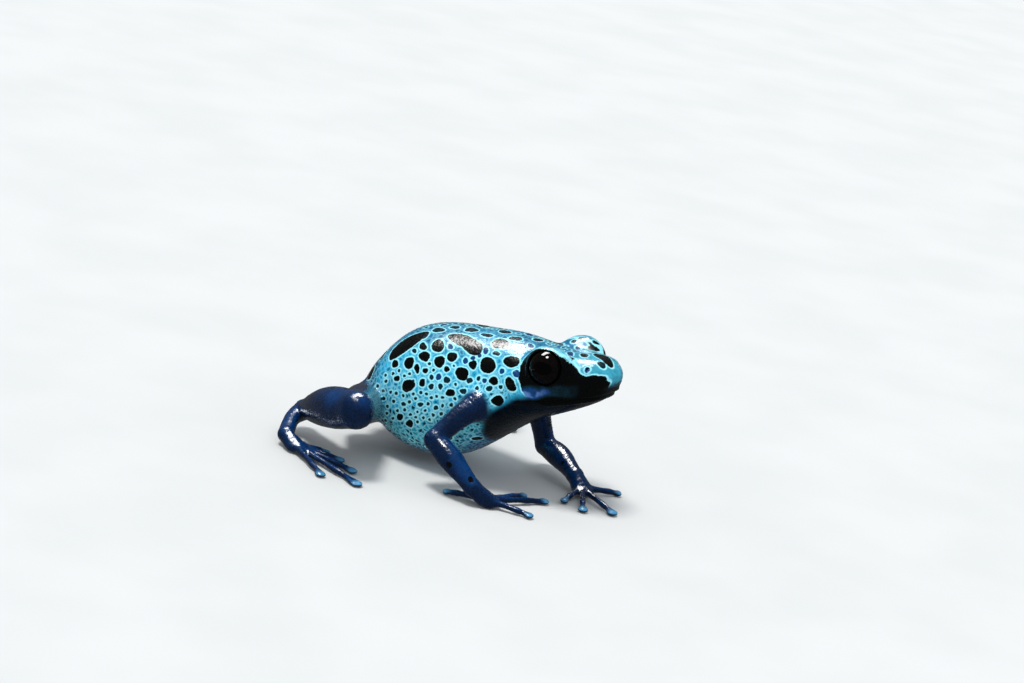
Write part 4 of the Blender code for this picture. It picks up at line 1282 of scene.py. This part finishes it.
def skin_material():
    """Wet skin: spots with pale outlines, a fine net of dots between them, and grain."""
    s = Shader("frog_skin")
    places = s.places()
    # The colour held at the points, with its painted shade and painted light
    base = s.attribute("tone", "Color")
    spot_edge, kind = s.attribute("spot"), s.attribute("kind")
    pale, fine = s.attribute("pale"), s.attribute("fine")

    wobble = s.math("MULTIPLY", s.math("SUBTRACT", s.noise(places, 1.5), 0.5), 0.3)
    ripple = s.math("MULTIPLY", s.math("SUBTRACT", s.noise(places, 7.0), 0.5), 0.12)
    edge = s.math("ADD", spot_edge, s.math("ADD", wobble, ripple))

    mottle = s.step(s.noise(places, 0.9, 4.0, 0.6), 0.3, 0.7, 0.0, 0.38)
    base = s.node("HueSaturation", (0.5, 1.0, s.math("SUBTRACT", 1.1, mottle), 1.0, base)).outputs[0]
    drift = s.vector("MULTIPLY", s.noise(places, 1.3, output=1), (0.6, 0.6, 0.6))
    bent = s.vector("ADD", places, drift)
    dots = s.cells(bent, 1.6)
    chance = s.node("SeparateColor", (dots.outputs["Color"],)).outputs[0]
    size = s.step(chance, 0.0, 1.0, 0.1, 0.42)
    spread = s.math("ADD", dots.outputs["Distance"], s.math("MULTIPLY", ripple, 1.2))
    net = s.step(s.math("SUBTRACT", spread, size), -0.06, 0.06)
    away = s.step(edge, 0.2, 0.42)
    dotted = s.math("MULTIPLY", s.math("MULTIPLY", s.math("SUBTRACT", 1.0, net), away), fine)
    between = s.cells(bent, 1.6, "DISTANCE_TO_EDGE").outputs["Distance"]
    line = s.math("MULTIPLY", s.step(between, 0.2, 0.03), s.math("MULTIPLY", fine, 0.6))
    base = s.mix(line, base, PALE_BLUE)
    base = s.mix(dotted, base, TEAL_SKIN)

    ring = s.math("MULTIPLY", s.step(edge, 0.27, 0.08), pale)
    base = s.mix(ring, base, PALE_BLUE)
    dark = s.mix(s.step(kind, BLACK, TEAL), BLACK_SKIN, TEAL_SKIN)
    dark = s.mix(s.step(kind, TEAL, BLUE), dark, BLUE_SKIN)
    dark = s.mix(s.step(kind, BLUE, LIP), dark, LIP_BLUE)
    inside = s.step(edge, 0.035, -0.035)
    base = s.mix(inside, base, dark)
    s.set(Base_Color=base)

    rough = s.step(s.noise(places, 3.0, 3.0), 0.25, 0.75, 0.2, 0.36)
    wet = s.math("ADD", 0.5, s.math("MULTIPLY", s.attribute("wet"), 0.5))
    s.set(Roughness=rough, Coat_Weight=wet, Coat_Roughness=0.07, Specular_IOR_Level=0.15, Coat_IOR=1.42)
    grain = s.cells(places, 6.5).outputs["Distance"]
    flakes = s.math("MULTIPLY", s.noise(places, 14.0, 3.0), 0.4)
    rugged = s.math("ADD", s.step(grain, 0.05, 0.6, 1.0, 0.0), flakes)
    s.set(Normal=s.bump(0.35, rugged), Coat_Normal=s.bump(0.4, rugged))
    return s.material


def eye_material():
    """A nearly black iris with faint bronze flecks round a long pupil, under a clear wet coat."""
    s = Shader("frog_eye")
    across, up = s.attribute("across"), s.attribute("up")
    radius = s.math("SQRT", s.math("ADD", s.math("POWER", across, 2.0), s.math("POWER", up, 2.0)))
    wide = s.math("POWER", s.math("DIVIDE", across, 1.15), 2.0)
    high = s.math("POWER", s.math("DIVIDE", up, 0.72), 2.0)
    pupil = s.math("SQRT", s.math("ADD", wide, high))
    direction = s.math("ARCTAN2", up, across)
    turned = [s.math("MULTIPLY", s.math(wave, direction), 6.0) for wave in ("COSINE", "SINE")]
    rays = s.node("CombineXYZ", (*turned, radius)).outputs[0]
    flecks = s.noise(rays, 2.2, 4.0, 0.7)
    bronze = s.math("MULTIPLY", s.step(flecks, 0.45, 0.8), s.step(radius, 2.0, 0.8, 0.2, 1.0))
    iris = s.mix(bronze, IRIS, BRONZE)
    s.set(Base_Color=s.mix(s.step(pupil, 1.12, 0.94), iris, PUPIL), Roughness=0.4, Specular_IOR_Level=0.0)
    s.set(Coat_Weight=1.0, Coat_Roughness=0.012, Coat_IOR=1.33)
    return s.material


def floor_material():
    """Plain pale card."""
    s = Shader("studio_floor")
    places = s.places()
    s.set(Base_Color=s.mix(s.step(s.noise(places, 0.05), 0.3, 0.7), CARD_DARK, CARD_PALE))
    s.set(Roughness=0.9, Specular_IOR_Level=0.0)
    return s.material


# Pieces

def add_attribute(mesh, name, values):
    """Writes a number, or a colour, for each point of a mesh."""
    coloured = values.ndim == 2
    attribute = mesh.attributes.new(name, "FLOAT_COLOR" if coloured else "FLOAT", "POINT")
    if coloured:
        values = np.hstack([values, np.ones((len(values), 1))])
    attribute.data.foreach_set("color" if coloured else "value", values.astype(np.float32).ravel())


def markings(points, body, on_leg, mask, spots, rng):
    """Numbers at each point for the shader: spots, tones, and where outlines, dots and wet legs show."""
    distance, tones = spot_distance(points, spots, rng)
    tones = np.where(mask <= distance, lip_share(points, body) * (1 - on_leg), tones)
    # No pale outlines or dots on the painted shade of the throat
    shaded_throat = smooth_step(-outline_distance(body[:, 0], body[:, 2], SHADED_THROAT), -0.4, 0.3)
    rump = smooth_step(-body[:, 0], *RUMP_BARE)
    height = back_share(body)
    bright = (1 - on_leg) * (1 - shaded_throat) * (1 - rump)
    pale = bright * (1 - 0.7 * smooth_step(-height, -0.12, 0.0))
    fine = bright * (0.45 + 0.55 * smooth_step(-height, -0.8, -0.5)) * smooth_step(-body[:, 0], -15, -10)
    fine = fine * (1 - 0.6 * smooth_step(-height, -0.14, -0.02))
    return {"spot": np.minimum(distance, mask), "kind": tones, "pale": pale, "fine": fine, "wet": on_leg}


def make_skin():
    """The frog's one skin, with its markings held at its points."""
    points, faces, body_shape, legs = frog_surface()
    normals = point_normals(points, faces)
    along, up = floor_to_body(points[:, 0], points[:, 2])
    body = np.stack([along, points[:, 1], up], axis=1)
    on_leg = on_legs(points, body_shape, legs)
    mask = np.where((body[:, 0] > MASK_START) & (on_leg < 0.5), mask_distance(body), CLEAR)
    discs = disc_share(points)
    smooth = mesh_object("smooth", points, faces)
    bpy.context.view_layer.update()
    rng = np.random.default_rng(SEED)
    spots = scatter(points, normals, body, on_leg, mask, photo_spots(smooth) + nostril_spots(), rng)
    bpy.data.objects.remove(smooth)
    # The skin's colour, with painted shade on the throat and painted light on the legs' upper sides and discs
    held = {"tone": paint(points, normals, body, on_leg, discs)}
    held.update(markings(points, body, on_leg, mask, spots, rng))
    lowered = relief(points, body, on_leg, mask, discs)
    skin = mesh_object("skin", points - normals * lowered[:, None], faces)
    for name, values in held.items():
        add_attribute(skin.data, name, values)
    skin.data.materials.append(skin_material())
    return skin


def make_eye(word, side, material):
    """An eyeball with a low clear dome over its iris."""
    axes = eye_axes(side)
    centre = body_to_floor(on_side(EYE, side))
    tilt = np.linspace(0, math.pi, EYE_RINGS + 1)[1:-1]
    turn = np.linspace(0, 2 * math.pi, EYE_SIDES, endpoint=False)
    tilt, turn = (grid.ravel() for grid in np.meshgrid(tilt, turn, indexing="ij"))
    local = np.stack([np.cos(tilt), np.sin(tilt) * np.cos(turn), np.sin(tilt) * np.sin(turn)], axis=1)
    local = np.vstack([local, (1, 0, 0), (-1, 0, 0)]) * (EYE_RADIUS - HELD_INSIDE)
    local[:, 0] *= 1 - DOME_FLAT * smooth_step(np.hypot(local[:, 1], local[:, 2]), 0.0, 1.2)
    mesh = bpy.data.meshes.new("eyeball_" + word)
    index = np.arange(len(tilt)).reshape(EYE_RINGS - 1, EYE_SIDES)
    after = np.roll(index, -1, axis=1)
    quads = np.stack([index[:-1], index[1:], after[1:], after[:-1]], axis=2).reshape(-1, 4).tolist()
    front, back = len(local) - 2, len(local) - 1
    caps = [(front, a, b) for a, b in zip(index[0], after[0])]
    caps += [(back, b, a) for a, b in zip(index[-1], after[-1])]
    mesh.from_pydata(to_row(centre + local @ axes).tolist(), [], quads + caps)
    mesh.shade_smooth()
    add_attribute(mesh, "across", local[:, 1])
    add_attribute(mesh, "up", local[:, 2])
    mesh.materials.append(material)
    eye = add_object("eyeball_" + word, mesh)
    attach(eye, "root")
    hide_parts("eye_" + word)


# Studio

def make_light(name, kind, direction, strength, colour):
    """A light of a kind, turned to shine from a direction."""
    data = bpy.data.lights.new(name, kind)
    data.energy = strength
    data.color = colour
    light = add_object(name, data)
    light.rotation_euler = Vector(unit(direction).tolist()).to_track_quat("Z", "Y").to_euler()
    return light


def make_floor():
    """A plain pale floor, which the wet skin doesn't mirror."""
    turns = [k * 2 * math.pi / FLOOR_SIDES for k in range(FLOOR_SIDES)]
    ring = [(FLOOR_REACH * math.cos(turn), FLOOR_REACH * math.sin(turn), 0) for turn in turns]
    mesh = bpy.data.meshes.new("studio_floor")
    mesh.from_pydata(ring, [], [range(FLOOR_SIDES)])
    mesh.materials.append(floor_material())
    floor = add_object("studio_floor", mesh)
    floor.location.z = -FLOOR_GAP
    floor.visible_glossy = False


def make_sky():
    """A pale sky, darker where the skin mirrors it."""
    world = bpy.data.worlds.new("studio")
    bpy.context.scene.world = world
    world.use_nodes = True
    nodes, links = world.node_tree.nodes, world.node_tree.links
    sky = nodes["Background"].inputs
    sky["Color"].default_value = SKY_COLOUR
    rays, shade = nodes.new("ShaderNodeLightPath"), nodes.new("ShaderNodeMapRange")
    shade.inputs["To Min"].default_value = SKY_STRENGTH
    shade.inputs["To Max"].default_value = SKY_MIRRORED
    links.new(rays.outputs["Is Glossy Ray"], shade.inputs["Value"])
    links.new(shade.outputs["Result"], sky["Strength"])


def make_studio():
    """The floor, the sky, a soft key light from above, and a window that the wet skin mirrors."""
    make_floor()
    make_sky()
    to_sun = CAMERA_UP * 0.9 + CAMERA_BACK * 0.42 - CAMERA_RIGHT * 0.05
    sun = make_light("soft_key", "SUN", to_sun, SUN_STRENGTH, SUN_COLOUR)
    sun.data.angle = SUN_ANGLE
    overhead = CAMERA_UP - CAMERA_RIGHT * 0.06 - CAMERA_BACK * 0.12
    window = make_light("window", "AREA", overhead, WINDOW_POWER, WINDOW_COLOUR)
    window.data.shape = "RECTANGLE"
    window.data.size, window.data.size_y = WINDOW_SIZE
    window.location = Vector((unit(overhead) * WINDOW_DISTANCE).tolist()) + Vector(FROG_MIDDLE)
    window.visible_diffuse = False
    bpy.context.scene.view_settings.view_transform = "Standard"


skin = make_skin()
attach(skin, "root")
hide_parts(*[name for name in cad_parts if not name.startswith("eye_")])
iris = eye_material()
make_eye("right", RIGHT, iris)
make_eye("left", LEFT, iris)
make_camera()
make_studio()
